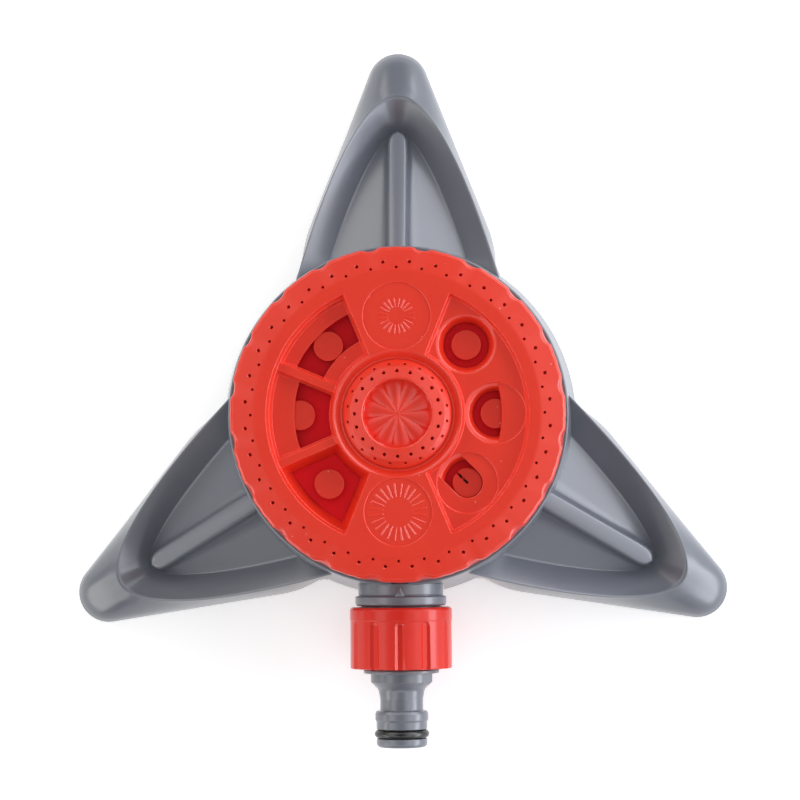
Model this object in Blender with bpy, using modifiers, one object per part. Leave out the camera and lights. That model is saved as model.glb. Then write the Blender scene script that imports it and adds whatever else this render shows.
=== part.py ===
# Multi-pattern lawn sprinkler: a three-legged base, a dial that turns over one
# water port, and a hose inlet with a union nut.
# Lengths are in millimetres and angles in degrees until a mesh is made.
# Angles are measured round the dial's axis from +X; a leg points to +Y and the
# hose inlet to -Y. The origin is on the ground, midway between leg tip and hose tail.

import bpy
import bmesh
from math import acos, asin, cos, degrees, exp, hypot, pi, radians, sin
from mathutils import Matrix, Vector

MM = 0.001
GAP = 0.3                     # clearance between neighbouring pieces
STATIONS = 8                  # spray patterns round the dial
STATION_RADIUS = 31.5         # dial axis to the middle of each pattern

# Base
LEG_TIP = 124.3               # dial axis to the tip of a leg
LEG_TIP_RADIUS = 10.1
LEG_HALF_ANGLE = 21.25        # a leg's side against its middle line
LEG_SIDE = 57.4               # straight run of that side
LEG_SHOULDER_RADIUS = 33.0
LEG_ROOT_FILLET = 6.0
LEG_ROOT_ANGLE = 36.3         # where that fillet meets the hub, from the leg's middle line
LEG_WALL = 2.2
LEG_STATIONS = (0, 0.05, 0.1, 0.16, 0.26, 0.4, 0.55, 0.7, 0.82, 0.91, 1)
HUB_RADIUS = 59.0             # at the ground
HUB_TOP_RADIUS = 56.5
HUB_TOP = 35.3
HUB_WALL = 2.2
HUB_BOTTOM = 0.8              # only the legs touch the ground
DECK_TOP = 33.3
DECK_BOTTOM = 31.1
PIVOT_BORE = 5.1
PIVOT_BOSS = 8.6
PIVOT_BOSS_BOTTOM = 18.0
DETENT_RADIUS = 44.0          # dial axis to the click plunger
DETENT_ANGLE = 90

# Inlet, by its distance from the dial axis along the hose
INLET_HEIGHT = 21.5
NECK_RADIUS = 14.0
NECK_START = 52.6
FLANGE_START, FLANGE_END = 57.9, 61.5
FLANGE_RADIUS = 15.1
SPIGOT_RADIUS = 13.0
SPIGOT_END = 72.5
NUT_RADIUS = 16.8
NUT_START, NUT_END = 61.8, 82.5
NUT_GROOVES = 12
TAIL_END = 108.3
DUCT_RADIUS, DUCT_BORE = 9.2, 7.2
CUP_RADIUS, CUP_BORE = 8.2, 6.5
EARS = ((14.5, -26.0), (14.5, -44.0), (-14.5, -44.0), (-14.5, -26.0))

# Dial
PLATE_RADIUS = 52.0
PLATE_BOTTOM, PLATE_TOP = 34.5, 37.7
PORT_RADIUS = 3.9
FACE_RADIUS = 54.15
FACE_BOTTOM = 38.0
FACE_TOP = 47.0
DECK_LEVEL = 45.0             # recessed deck between the two plain fields
SKIRT_BOTTOM = 36.3
RING_START = 46.1             # the outer ring slopes down from here
RIM_SCOOPS = 20
DECK_OUTER, DECK_INNER, DECK_INSET = 42.4, 20.6, 1.0   # at FACE_TOP
CELL_OUTER, CELL_INNER, CELL_INSET = 42.2, 20.2, 0.74
CELL_DRAFT = 0.366            # how far a cell's walls lean in for each mm of depth
MASK_TOP, MASK_BOTTOM = 43.0, 41.8
LID_TOP, LID_BOTTOM, LID_LEDGE = 44.4, 42.9, 0.3
LID_RADIUS = 9.9
FIELD_RADIUS, FIELD_DEPTH = 10.9, 0.35
CUP_TOP_RADIUS, CUP_FLOOR_RADIUS = 9.9, 7.4
HALF_MASK_EDGE = 33.5
BUTTON_RADIUS, BUTTON_TOP = 4.8, 41.4
CONE_RADIUS = 17.4

# Spray holes: count, first angle, radius and height of the row, hole radius, lean outwards
RING_HOLES = ((36, 5, 49.2, 46.44, 0.5, 20), (36, 0, 47.3, 46.78, 0.38, 12))
CONE_HOLES = ((20, 9, 16.2, 47.37, 0.45, 45), (20, 0, 13.8, 48.6, 0.45, 20))

AXIS_Y = (TAIL_END - LEG_TIP) / 2

for old in list(bpy.data.objects):
    bpy.data.objects.remove(old)

parts = bpy.data.collections.new("multi_pattern_sprinkler")
cutters = bpy.data.collections.new("cutters")
bpy.context.scene.collection.children.link(parts)
bpy.context.scene.collection.children.link(cutters)


# Finishes: colour, roughness, metallic
GREY = ((0.155, 0.165, 0.19), 0.38, 0)
RED = ((0.70, 0.045, 0.025), 0.35, 0)
DEEP_RED = ((0.42, 0.006, 0.01), 0.4, 0)
RUBBER = ((0.02, 0.02, 0.022), 0.6, 0)
STEEL = ((0.6, 0.61, 0.62), 0.3, 1)


def material(name, finish):
    colour, roughness, metallic = finish
    made = bpy.data.materials.new(name)
    made.use_nodes = True
    shader = made.node_tree.nodes["Principled BSDF"]
    shader.inputs["Base Color"].default_value = (*colour, 1)
    shader.inputs["Roughness"].default_value = roughness
    shader.inputs["Metallic"].default_value = metallic
    made.diffuse_color = (*colour, 1)
    return made


def empty(name, place, turn=(0, 0, 0), parent=None):
    made = bpy.data.objects.new(name, None)
    made.location = Vector(place) * MM
    made.rotation_euler = [radians(a) for a in turn]
    made.parent = parent
    parts.objects.link(made)
    return made


def add(name, mesh, parent, finish=None, place=(0, 0, 0), turn=(0, 0, 0)):
    # Without a finish it is a cutter or a helper and stays out of the model.
    made = bpy.data.objects.new(name, mesh)
    made.parent = parent
    made.location = Vector(place) * MM
    made.rotation_euler = [radians(a) for a in turn]
    if finish:
        mesh.materials.append(material(name, finish))
        parts.objects.link(made)
    else:
        made.hide_render = True
        made.display_type = "WIRE"
        cutters.objects.link(made)
    return made


def boolean(target, tool, operation="DIFFERENCE"):
    step = target.modifiers.new(tool.name, "BOOLEAN")
    step.operation = operation
    step.solver = "EXACT"
    step.object = tool


def turned(name, profile, parent, finish=None, steps=48, place=(0, 0, 0), turn=(0, 0, 0),
           start=0):
    # The profile holds (radius, height) points and runs down its outer side. It is
    # a closed loop unless it starts and ends on the axis. Its facets meet at start.
    mesh = bpy.data.meshes.new(name)
    points = [(*(p * MM for p in polar(r, start)), z * MM) for r, z in profile]
    edges = [(i, i + 1) for i in range(len(points) - 1)]
    if profile[0][0] > 0:
        edges.append((len(points) - 1, 0))
    mesh.from_pydata(points, edges, [])
    made = add(name, mesh, parent, finish, place, turn)
    screw = made.modifiers.new("turn", "SCREW")
    screw.angle = 2 * pi
    screw.steps = steps
    screw.render_steps = steps
    screw.use_merge_vertices = True
    screw.merge_threshold = 0.00001
    screw.use_smooth_shade = True
    return made


def mesh_from(name, work):
    bmesh.ops.triangulate(work, faces=work.faces)
    bmesh.ops.recalc_face_normals(work, faces=work.faces)
    mesh = bpy.data.meshes.new(name)
    work.to_mesh(mesh)
    work.free()
    return mesh


def add_rod(work, start, end, radius, sides, end_radius=None):
    # A round rod or cone from start to end, both in millimetres.
    start, end = Vector(start) * MM, Vector(end) * MM
    along = end - start
    turn = along.to_track_quat("Z", "Y").to_matrix().to_4x4()
    tip = radius if end_radius is None else end_radius
    bmesh.ops.create_cone(
        work, cap_ends=True, segments=sides, radius1=radius * MM, radius2=tip * MM,
        depth=along.length, matrix=Matrix.Translation((start + end) / 2) @ turn)


def rod(name, start, end, radius, parent, finish=None, sides=24, end_radius=None):
    work = bmesh.new()
    add_rod(work, start, end, radius, sides, end_radius)
    return add(name, mesh_from(name, work), parent, finish)


def block(name, low, high, parent, finish=None, turn=(0, 0, 0)):
    work = bmesh.new()
    low, high = Vector(low) * MM, Vector(high) * MM
    size = Matrix.Diagonal((*(high - low), 1))
    bmesh.ops.create_cube(work, size=1, matrix=Matrix.Translation((low + high) / 2) @ size)
    return add(name, mesh_from(name, work), parent, finish, turn=turn)


def add_prism(work, low_outline, high_outline, low, high):
    # Extrudes the low outline, then moves its top onto the high outline.
    ring = [work.verts.new((x * MM, y * MM, low * MM)) for x, y in low_outline]
    floor = work.faces.new(ring)
    raised = bmesh.ops.extrude_face_region(work, geom=[floor], use_keep_orig=True)["geom"]
    for vert in raised:
        if isinstance(vert, bmesh.types.BMVert):
            nearest = min(range(len(ring)), key=lambda i: (ring[i].co - vert.co).length)
            x, y = high_outline[nearest]
            vert.co = (x * MM, y * MM, high * MM)


def prism(name, low_outline, high_outline, low, high, parent, finish=None):
    work = bmesh.new()
    add_prism(work, low_outline, high_outline, low, high)
    return add(name, mesh_from(name, work), parent, finish)


def polar(radius, angle):
    return radius * cos(radians(angle)), radius * sin(radians(angle))


def arc(radius, start, end, count, centre=(0, 0)):
    made = []
    for i in range(count + 1):
        x, y = polar(radius, start + (end - start) * i / count)
        made.append((centre[0] + x, centre[1] + y))
    return made


# Base

def hub_middle(height):
    # Radius of the middle of the hub's wall at a height.
    return HUB_RADIUS - (HUB_RADIUS - HUB_TOP_RADIUS) * height / HUB_TOP - HUB_WALL / 2


def seat_on_hub(distance, side, height):
    scale = hub_middle(height) / hypot(distance, side)
    return distance * scale, side * scale, height


def leg_outline(share):
    # Point of the leg's ground outline, by its share of the way from tip to hub:
    # round tip, straight side, round shoulder, then a fillet into the hub.
    turn = radians(90 - LEG_HALF_ANGLE)
    bend = radians(LEG_HALF_ANGLE)
    flare = radians(90 - LEG_ROOT_ANGLE)
    runs = ((LEG_TIP_RADIUS * turn, 1 / LEG_TIP_RADIUS),
            (LEG_SIDE, 0),
            (LEG_SHOULDER_RADIUS * bend, 1 / LEG_SHOULDER_RADIUS),
            (LEG_ROOT_FILLET * flare, -1 / LEG_ROOT_FILLET))
    left = share * sum(length for length, _ in runs)
    distance, side, heading = LEG_TIP, 0.0, 0.0
    for length, bending in runs:
        walked = min(left, length)
        left -= walked
        if bending:
            after = heading + walked * bending
            distance += (cos(after) - cos(heading)) / bending
            side += (sin(after) - sin(heading)) / bending
            heading = after
        else:
            distance -= walked * sin(heading)
            side += walked * cos(heading)
    return distance, side


def arch(apex, half_width, low, high):
    # A U-shaped line over the leg that opens towards the hub: its apex is on the
    # middle line, half_width gives its side from the distance behind the apex, and
    # its height rises from low at the apex to high at the hub.
    near, far = 0.0, apex
    for _ in range(40):
        reach = (near + far) / 2
        if hypot(apex - reach, half_width(reach)) > hub_middle(high):
            near = reach
        else:
            far = reach

    def point(share):
        behind = reach * share ** 2
        return apex - behind, half_width(behind), low + (high - low) * share ** 2

    return point


def leg_mesh():
    # Half of the hollow leg: lines over its top from the rib's crown to the ground,
    # and the same lines again under the wall.
    lip = arch(108.0, lambda x: 3.75 * x ** 0.51, 11.0, 27.0)
    valley = arch(97.2, lambda x: 2.19 * x ** 0.61, 6.0, 19.0)
    rib_foot = arch(96.9, lambda x: 3.7 * (1 - exp(-x / 1.2)), 7.6, 29.0)
    rib_edge = arch(96.2, lambda x: 2.9 * (1 - exp(-x / 1.2)), 9.9, 31.6)
    crown = arch(95.6, lambda x: 0.0, 10.8, 32.6)

    def between(share, inwards, height):
        # A line of the flank, part way from the ground outline to the lip.
        ground = leg_outline(share)
        top = lip(share)
        return (ground[0] + (top[0] - ground[0]) * inwards,
                ground[1] + (top[1] - ground[1]) * inwards, top[2] * height)

    lines = (
        (crown, 0, 2.4), (rib_edge, 0, 2.4), (rib_foot, 0, 2.4), (valley, -0.8, 2.4),
        (lip, 1.8, 5.0),
        (lambda share: between(share, 0.45, 0.85), 1.6, 2.0),
        (lambda share: between(share, 0.12, 0.45), LEG_WALL, 0.6),
        (lambda share: between(share, 0, 0), LEG_WALL, 0))

    work = bmesh.new()
    rows = []
    for line, inwards, down in lines:
        upper, under = [], []
        for share in LEG_STATIONS:
            point = Vector(line(share))
            step = Vector(line(min(share + 0.01, 1))) - Vector(line(max(share - 0.01, 0)))
            inner = Vector((-step.y, step.x)).normalized() if share else Vector((-1, 0))
            moved = Vector((point.x + inner.x * inwards,
                            max(point.y + inner.y * inwards, 0), point.z - down))
            if line is crown:
                moved.y = 0
            if share == LEG_STATIONS[-1]:
                point = Vector(seat_on_hub(*point))
                moved = Vector(seat_on_hub(*moved))
            upper.append(work.verts.new((point.y * MM, point.x * MM, point.z * MM)))
            under.append(work.verts.new((moved.y * MM, moved.x * MM, moved.z * MM)))
        rows.append((upper, under))
    loop = [upper for upper, _ in rows] + [under for _, under in reversed(rows)]
    for row, following in zip(loop, loop[1:]):
        for i in range(len(LEG_STATIONS) - 1):
            work.faces.new((row[i], row[i + 1], following[i + 1], following[i]))
    for (upper, under), (next_upper, next_under) in zip(rows, rows[1:]):
        work.faces.new((upper[-1], under[-1], next_under[-1], next_upper[-1]))
    for face in work.faces:
        face.smooth = True
    return mesh_from("leg", work)


def make_base():
    rim = 0.35
    lower = HUB_RADIUS - (HUB_RADIUS - HUB_TOP_RADIUS) * HUB_BOTTOM / HUB_TOP
    deck_edge = hub_middle(DECK_BOTTOM) - HUB_WALL / 2
    profile = (
        (HUB_TOP_RADIUS - rim, HUB_TOP), (HUB_TOP_RADIUS, HUB_TOP - rim),
        (lower, HUB_BOTTOM), (lower - HUB_WALL, HUB_BOTTOM),
        (deck_edge, DECK_BOTTOM), (PIVOT_BOSS + 0.8, DECK_BOTTOM),
        (PIVOT_BOSS, DECK_BOTTOM - 0.8), (PIVOT_BOSS, PIVOT_BOSS_BOTTOM),
        (PIVOT_BORE, PIVOT_BOSS_BOTTOM), (PIVOT_BORE, DECK_TOP),
        (deck_edge - 0.2, DECK_TOP), (HUB_TOP_RADIUS - HUB_WALL, HUB_TOP - rim),
        (HUB_TOP_RADIUS - HUB_WALL + rim, HUB_TOP))
    base = turned("base_shell", profile, axis, GREY, steps=54)

    leg = leg_mesh()
    for i, angle in enumerate((0, 120, 240)):
        helper = add(f"leg_{i + 1}", leg, axis, turn=(0, 0, angle))
        mirror = helper.modifiers.new("other_half", "MIRROR")
        mirror.use_axis = (True, False, False)
        mirror.merge_threshold = 0.00001
        boolean(base, helper, "UNION")

    # Under the deck: stiffening ribs, screw bosses and the plunger's pocket
    overlap = 0.6
    for angle in (30, 90, 150, 210, 330):
        rib = block(f"deck_rib_{angle}", (PIVOT_BOSS - overlap, -0.8, 24),
                    (deck_edge + overlap, 0.8, DECK_BOTTOM + overlap), axis, turn=(0, 0, angle))
        boolean(base, rib, "UNION")
    detent = polar(DETENT_RADIUS, DETENT_ANGLE)
    pocket_boss = rod("pocket_boss", (*detent, 15.5), (*detent, DECK_BOTTOM + overlap),
                      4.4, axis, sides=14)
    boolean(base, pocket_boss, "UNION")
    for i, ear in enumerate(EARS):
        boss = rod(f"screw_boss_{i + 1}", (*ear, 26), (*ear, DECK_BOTTOM + overlap), 3.6,
                   axis, sides=10)
        boolean(base, boss, "UNION")

    # Openings: the neck's arch through the wall, the port, plunger and screw holes
    half = NECK_RADIUS + GAP
    notch = [(half, -5), (half, INLET_HEIGHT)]
    notch += [(x, INLET_HEIGHT + y) for x, y in arc(half, 0, 180, 14)][1:-1]
    notch += [(-half, INLET_HEIGHT), (-half, -5)]
    flat = [(x, z - INLET_HEIGHT) for x, z in notch]
    boolean(base, prism("neck_arch", flat, flat, NECK_START - 0.4, 64, inlet))
    port = polar(STATION_RADIUS, 270)
    boolean(base, rod("port_hole", (*port, 29), (*port, 36), CUP_RADIUS + GAP, axis, sides=22))
    boolean(base, rod("plunger_pocket", (*detent, 17.5), (*detent, 36), 2.6, axis, sides=12))
    work = bmesh.new()
    for ear in EARS:
        add_rod(work, (*ear, 22), (*ear, 31.8), 1.7, 8)
    boolean(base, add("boss_holes", mesh_from("boss_holes", work), axis))
    return base


# Water inlet, fixed to the base

def make_valve_body():
    # Neck, rounded flange and threaded spigot, turned round the hose axis
    soft = 1.1
    profile = (
        (0, SPIGOT_END), (SPIGOT_RADIUS - 0.6, SPIGOT_END),
        (SPIGOT_RADIUS, SPIGOT_END - 0.8), (SPIGOT_RADIUS, FLANGE_END),
        (FLANGE_RADIUS - soft, FLANGE_END), (FLANGE_RADIUS, FLANGE_END - soft),
        (FLANGE_RADIUS, FLANGE_START + soft), (FLANGE_RADIUS - soft, FLANGE_START),
        (NECK_RADIUS, FLANGE_START), (NECK_RADIUS, NECK_START),
        (DUCT_RADIUS, NECK_START), (DUCT_RADIUS, STATION_RADIUS), (0, STATION_RADIUS))
    body = turned("valve_body", profile, inlet, GREY, steps=32, start=4.5)

    # The tongue fills the arch under the neck and follows the hub's wall
    outer, inner = HUB_RADIUS - 0.3, HUB_RADIUS - HUB_WALL
    lean = (HUB_RADIUS - HUB_TOP_RADIUS) / HUB_TOP * INLET_HEIGHT
    width = degrees(asin(NECK_RADIUS / HUB_RADIUS))

    def tongue_outline(out, into):
        return arc(out, 270 - width, 270 + width, 6) + arc(into, 270 + width, 270 - width, 6)

    tongue = prism("tongue", tongue_outline(outer, inner),
                   tongue_outline(outer - lean, inner - lean), 1.2, INLET_HEIGHT, axis)
    boolean(body, tongue, "UNION")

    # Cup under the dial's port, and ears for the screws
    port = polar(STATION_RADIUS, 270)
    cup = rod("cup", (*port, INLET_HEIGHT - DUCT_RADIUS), (*port, DECK_TOP), CUP_RADIUS,
              axis, sides=22)
    boolean(body, cup, "UNION")
    for i, ear in enumerate(EARS[:2]):
        low, high = 23.2, 25.7
        outline = arc(3.6, -90, 90, 4, ear) + arc(3.6, 90, 270, 4, (-ear[0], ear[1]))
        boolean(body, prism(f"ears_{i + 1}", outline, outline, low, high, axis), "UNION")

    # Raised pointer on the neck, aimed at the pattern in use
    point = ((0, 55.9), (1.7, 58.8), (-1.7, 58.8))
    outline = [(x, -y) for x, y in point]
    pointer = prism("pointer", outline, outline, 34.6, 36.9, axis)
    boolean(body, pointer, "UNION")

    boolean(body, rod("cup_bore", (*port, INLET_HEIGHT - DUCT_BORE), (*port, 36), CUP_BORE,
                      axis, sides=20))
    boolean(body, rod("duct_bore", (0, 0, STATION_RADIUS - 1), (0, 0, SPIGOT_END + 1),
                      DUCT_BORE, inlet, sides=20))
    work = bmesh.new()
    for ear in EARS:
        add_rod(work, (*ear, 22), (*ear, 27), 1.7, 8)
    boolean(body, add("ear_holes", mesh_from("ear_holes", work), axis))
    return body


def make_screws():
    # Pan-head screws, driven up through the ears into the deck's bosses
    head, length = 2.9, 30.4
    profile = ((0, length), (1.4, length - 1.4), (1.4, 22.9), (head, 22.9),
               (head, 22.0), (head - 0.8, 21.1), (1.1, 21.1), (0, 22.1))
    for i, ear in enumerate(EARS):
        turned(f"valve_body_screw_{i + 1}", profile, axis, STEEL, steps=10, place=(*ear, 0))


def spring(name, parent, finish, place, low, high, radius, wire, turns):
    # One unbroken coil, with its least gap to itself measured and printed.
    per_turn = 8
    count = int(per_turn * turns)
    curve = bpy.data.curves.new(name, "CURVE")
    curve.dimensions = "3D"
    curve.bevel_depth = wire * MM
    curve.bevel_resolution = 1
    curve.use_fill_caps = True
    line = curve.splines.new("POLY")
    line.points.add(count)
    points = []
    for i in range(count + 1):
        x, y = polar(radius, 360 * i / per_turn)
        z = low + wire + (high - low - 2 * wire) * i / count
        points.append(Vector((x, y, z)))
        line.points[i].co = (x * MM, y * MM, z * MM, 1)
    gaps = [(a - b).length for i, a in enumerate(points) for b in points[i + per_turn - 2:]]
    print(name, "least gap between turns", round(min(gaps) - 2 * wire, 2), "mm")
    curve.materials.append(material(name, finish))
    made = bpy.data.objects.new(name, curve)
    made.parent = parent
    made.location = Vector(place) * MM
    parts.objects.link(made)
    return made


def make_port_seal():
    port = (*polar(STATION_RADIUS, 270), 0)
    low, high, outer = 25.0, PLATE_BOTTOM - GAP, CUP_BORE - GAP
    profile = ((PORT_RADIUS + 1.9, high), (outer, high - 0.5), (outer, low + 0.6),
               (outer - 0.5, low), (PORT_RADIUS, low), (PORT_RADIUS, high))
    turned("port_seal", profile, axis, RUBBER, steps=20, place=port)
    floor = INLET_HEIGHT - DUCT_BORE
    spring("port_seal_spring", axis, STEEL, port, floor + GAP, low - GAP, 5.1, 0.4, 4)


def make_detent():
    place = (*polar(DETENT_RADIUS, DETENT_ANGLE), 0)
    tip, low = PLATE_BOTTOM - GAP, 25.5
    nose = 1.8
    dome = [(r, tip - nose + z) for r, z in arc(nose, 90, 0, 3)]
    dome[0] = (0, tip)
    profile = (*dome, (nose, 32.0), (2.3, 31.4), (2.3, low), (0, low))
    turned("detent_plunger", profile, axis, DEEP_RED, steps=12, place=place)
    spring("detent_spring", axis, STEEL, place, 17.5 + GAP, low - GAP, 1.8, 0.28, 4)


# Dial

def cell_outline(angle, height, inner=None, outer=None, margin=0, rounds=8):
    # A pie-shaped cell at a height: its walls lean in as it goes down.
    lean = CELL_DRAFT * (FACE_TOP - height)
    inner = inner or CELL_INNER + lean
    outer = outer or CELL_OUTER - lean
    inset = CELL_INSET + 0.28 * (FACE_TOP - height) + margin
    half = 180 / STATIONS
    out, into = half - degrees(asin(inset / outer)), half - degrees(asin(inset / inner))
    return (arc(outer, angle - out, angle + out, rounds)
            + arc(inner, angle + into, angle - into, rounds // 2))


def add_cell(work, angle, low, high, inner=None, outer=None, margin=0, rounds=8):
    add_prism(work, cell_outline(angle, low, inner, outer, margin, rounds),
              cell_outline(angle, high, inner, outer, margin, rounds), low, high)


def cup_radius(height):
    share = (height - FACE_BOTTOM) / (DECK_LEVEL - FACE_BOTTOM)
    return CUP_FLOOR_RADIUS + (CUP_TOP_RADIUS - CUP_FLOOR_RADIUS) * share


def half_opening(height):
    # The part of the cup at angle 0 that lies inside the mask's round edge.
    cup, middle, edge = cup_radius(height) - LID_LEDGE, STATION_RADIUS, HALF_MASK_EDGE
    cross = degrees(acos((edge ** 2 - middle ** 2 - cup ** 2) / (2 * middle * cup)))
    corner = degrees(asin(cup * sin(radians(cross)) / edge))
    return arc(cup, cross, 360 - cross, 18, (middle, 0)) + arc(edge, -corner, corner, 3)[1:-1]


def slot_opening(height, angle):
    # A U round the button that opens towards the dial's centre.
    cup, half = cup_radius(height) - LID_LEDGE, BUTTON_RADIUS + 0.1
    cross = degrees(asin(half / cup))
    outline = arc(half, -90, 90, 8) + arc(cup, 180 - cross, 180 + cross, 4)
    turn = Matrix.Rotation(radians(angle), 2)
    return [tuple(turn @ Vector((x + STATION_RADIUS, y))) for x, y in outline]


def make_spray_face():
    edge = 0.9
    profile = (
        (CONE_RADIUS + GAP, 44.4), (18.8, 44.7), (20.0, FACE_TOP - 0.5), (20.7, FACE_TOP),
        (RING_START, FACE_TOP), (FACE_RADIUS - edge, 45.7), (FACE_RADIUS - 0.2, 45.1),
        (FACE_RADIUS, 44.3), (FACE_RADIUS + 0.25, SKIRT_BOTTOM),
        (PLATE_RADIUS + 0.4, SKIRT_BOTTOM), (PLATE_RADIUS + 0.4, FACE_BOTTOM),
        (CONE_RADIUS + GAP, FACE_BOTTOM))
    face = turned("spray_face", profile, turret, RED, steps=48, start=1.25)

    # Two recessed decks, one each side of the plain fields at 90 and 270 degrees
    decks = bmesh.new()
    for start, end in ((-67.5, 67.5), (112.5, 247.5)):
        outlines = []
        for height in (DECK_LEVEL, FACE_TOP + 0.5):
            lean = CELL_DRAFT * (FACE_TOP - height)
            outer, inner = DECK_OUTER - lean, DECK_INNER + lean * 0.3
            inset = DECK_INSET + lean * 0.2
            out, into = degrees(asin(inset / outer)), degrees(asin(inset / inner))
            outlines.append(arc(outer, start + out, end - out, 18)
                            + arc(inner, end - into, start + into, 12))
        add_prism(decks, *outlines, DECK_LEVEL, FACE_TOP + 0.5)

    # Right side: a round cup, a half-masked cup and a slotted cup. Left side: one
    # cell masked on both sides, one with an outer mask and one open.
    below, above = FACE_BOTTOM - 0.5, DECK_LEVEL + 0.2
    inside, outside = MASK_BOTTOM - 0.3, MASK_TOP + 0.3
    middles = {angle: polar(STATION_RADIUS, angle) for angle in range(-45, 315, 45)}
    windows = bmesh.new()
    add_rod(windows, (*middles[45], below), (*middles[45], above), cup_radius(below), 24,
            cup_radius(above))
    add_prism(windows, half_opening(below), half_opening(above), below, above)
    add_prism(windows, slot_opening(below, -45), slot_opening(above, -45), below, above)
    add_cell(windows, 135, inside, outside, 26.6, 36.1, 0.2, 7)
    add_cell(windows, 180, inside, outside, 22.6, 33.4, 0.2, 7)
    add_cell(windows, 225, below, above)

    # Recesses over the masks, and the two shallow round fields for the pictograms
    recesses = bmesh.new()
    for angle in (0, -45):
        add_rod(recesses, (*middles[angle], LID_TOP), (*middles[angle], above), LID_RADIUS, 24)
    for angle in (135, 180):
        add_cell(recesses, angle, MASK_TOP, above)
    for angle in (90, 270):
        add_rod(recesses, (*middles[angle], FACE_TOP - FIELD_DEPTH), (*middles[angle], 48),
                FIELD_RADIUS, 28)

    # Chambers under the masks, and the way in to each water passage
    passage = 41.5
    chambers = bmesh.new()
    for angle in (0, -45):
        add_rod(chambers, (*middles[angle], below), (*middles[angle], LID_BOTTOM),
                CUP_FLOOR_RADIUS - 0.8, 16)
    for angle in (135, 180):
        add_cell(chambers, angle, below, MASK_BOTTOM)
    for angle in (90, 270):
        add_rod(chambers, (*middles[angle], below), (*middles[angle], passage + 0.4),
                PORT_RADIUS, 12)
    for name, work in (("decks", decks), ("windows", windows), ("recesses", recesses),
                       ("chambers", chambers)):
        boolean(face, add(name, mesh_from(name, work), turret))

    # Water ways, cut from below: a ring under the holes, and a passage to each ring
    ring = turned("ring_channel", ((44.6, 43.2), (50.4, 43.2), (50.4, 37), (44.6, 37)),
                  turret, steps=24, start=1.3)
    boolean(face, ring)
    boolean(face, block("ring_passage", (-2.2, -46, 37), (2.2, -STATION_RADIUS, passage),
                        turret))
    boolean(face, block("cone_passage", (-2.2, 16, 37), (2.2, STATION_RADIUS, passage),
                        turret))

    # The rim's finger scoops, then the two rows of spray holes
    depth, half_chord = 1.2, 3.3
    scoop = (half_chord ** 2 + depth ** 2) / (2 * depth)
    work = bmesh.new()
    for i in range(RIM_SCOOPS):
        angle = 9 + i * 360 / RIM_SCOOPS
        low = polar(FACE_RADIUS - depth + scoop + 0.8, angle)
        high = polar(FACE_RADIUS - depth + scoop - 0.2, angle)
        add_rod(work, (*low, 35), (*high, 48), scoop, 22)
    boolean(face, add("rim_scoops", mesh_from("rim_scoops", work), turret))

    work = bmesh.new()
    for row in RING_HOLES:
        add_holes(work, row, 4.4)
    boolean(face, add("ring_holes", mesh_from("ring_holes", work), turret))
    return face


def add_holes(work, row, depth):
    # A row of spray holes whose axes lean away from the dial's centre.
    count, first, radius, height, size, lean = row
    for i in range(count):
        angle = first + i * 360 / count
        down = radius - depth * sin(radians(lean)), height - depth * cos(radians(lean))
        up = radius + sin(radians(lean)), height + cos(radians(lean))
        add_rod(work, (*polar(down[0], angle), down[1]), (*polar(up[0], angle), up[1]), size, 5)


def make_centre_cone():
    # Two bands of holes over a ring-shaped water way, round a pleated dish
    profile = (
        (0, 45.0), (10.9, 45.0), (11.1, 49.0), (11.6, 49.3), (15.2, 48.3), (17.2, 46.4),
        (CONE_RADIUS, 46.0), (CONE_RADIUS, FACE_BOTTOM), (15.8, FACE_BOTTOM), (15.8, 45.4),
        (14.4, 46.8), (12.2, 47.4), (12.2, FACE_BOTTOM), (9.4, FACE_BOTTOM), (9.4, 42.8),
        (0, 42.8))
    cone = turned("centre_cone", profile, turret, RED, steps=40, start=4.5)

    pleats = 10
    work = bmesh.new()
    base = work.verts.new((0, 0, 44.2 * MM))
    apex = work.verts.new((0, 0, 47.6 * MM))
    upper, lower = [], []
    for i in range(2 * pleats):
        x, y = polar(10.6, 8 + i * 180 / pleats)
        height = 45.5 if i % 2 == 0 else 47.0
        upper.append(work.verts.new((x * MM, y * MM, height * MM)))
        lower.append(work.verts.new((x * MM, y * MM, 44.2 * MM)))
    for i in range(2 * pleats):
        j = (i + 1) % (2 * pleats)
        work.faces.new((apex, upper[i], upper[j]))
        work.faces.new((base, lower[j], lower[i]))
        work.faces.new((upper[i], lower[i], lower[j], upper[j]))
    boolean(cone, add("pleated_dish", mesh_from("pleated_dish", work), turret), "UNION")

    boolean(cone, block("cone_inlet", (-2.2, 13.6, 37), (2.2, 18.5, 41.5), turret))
    work = bmesh.new()
    for row in CONE_HOLES:
        add_holes(work, row, 2.8)
    boolean(cone, add("cone_holes", mesh_from("cone_holes", work), turret))
    return cone


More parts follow.
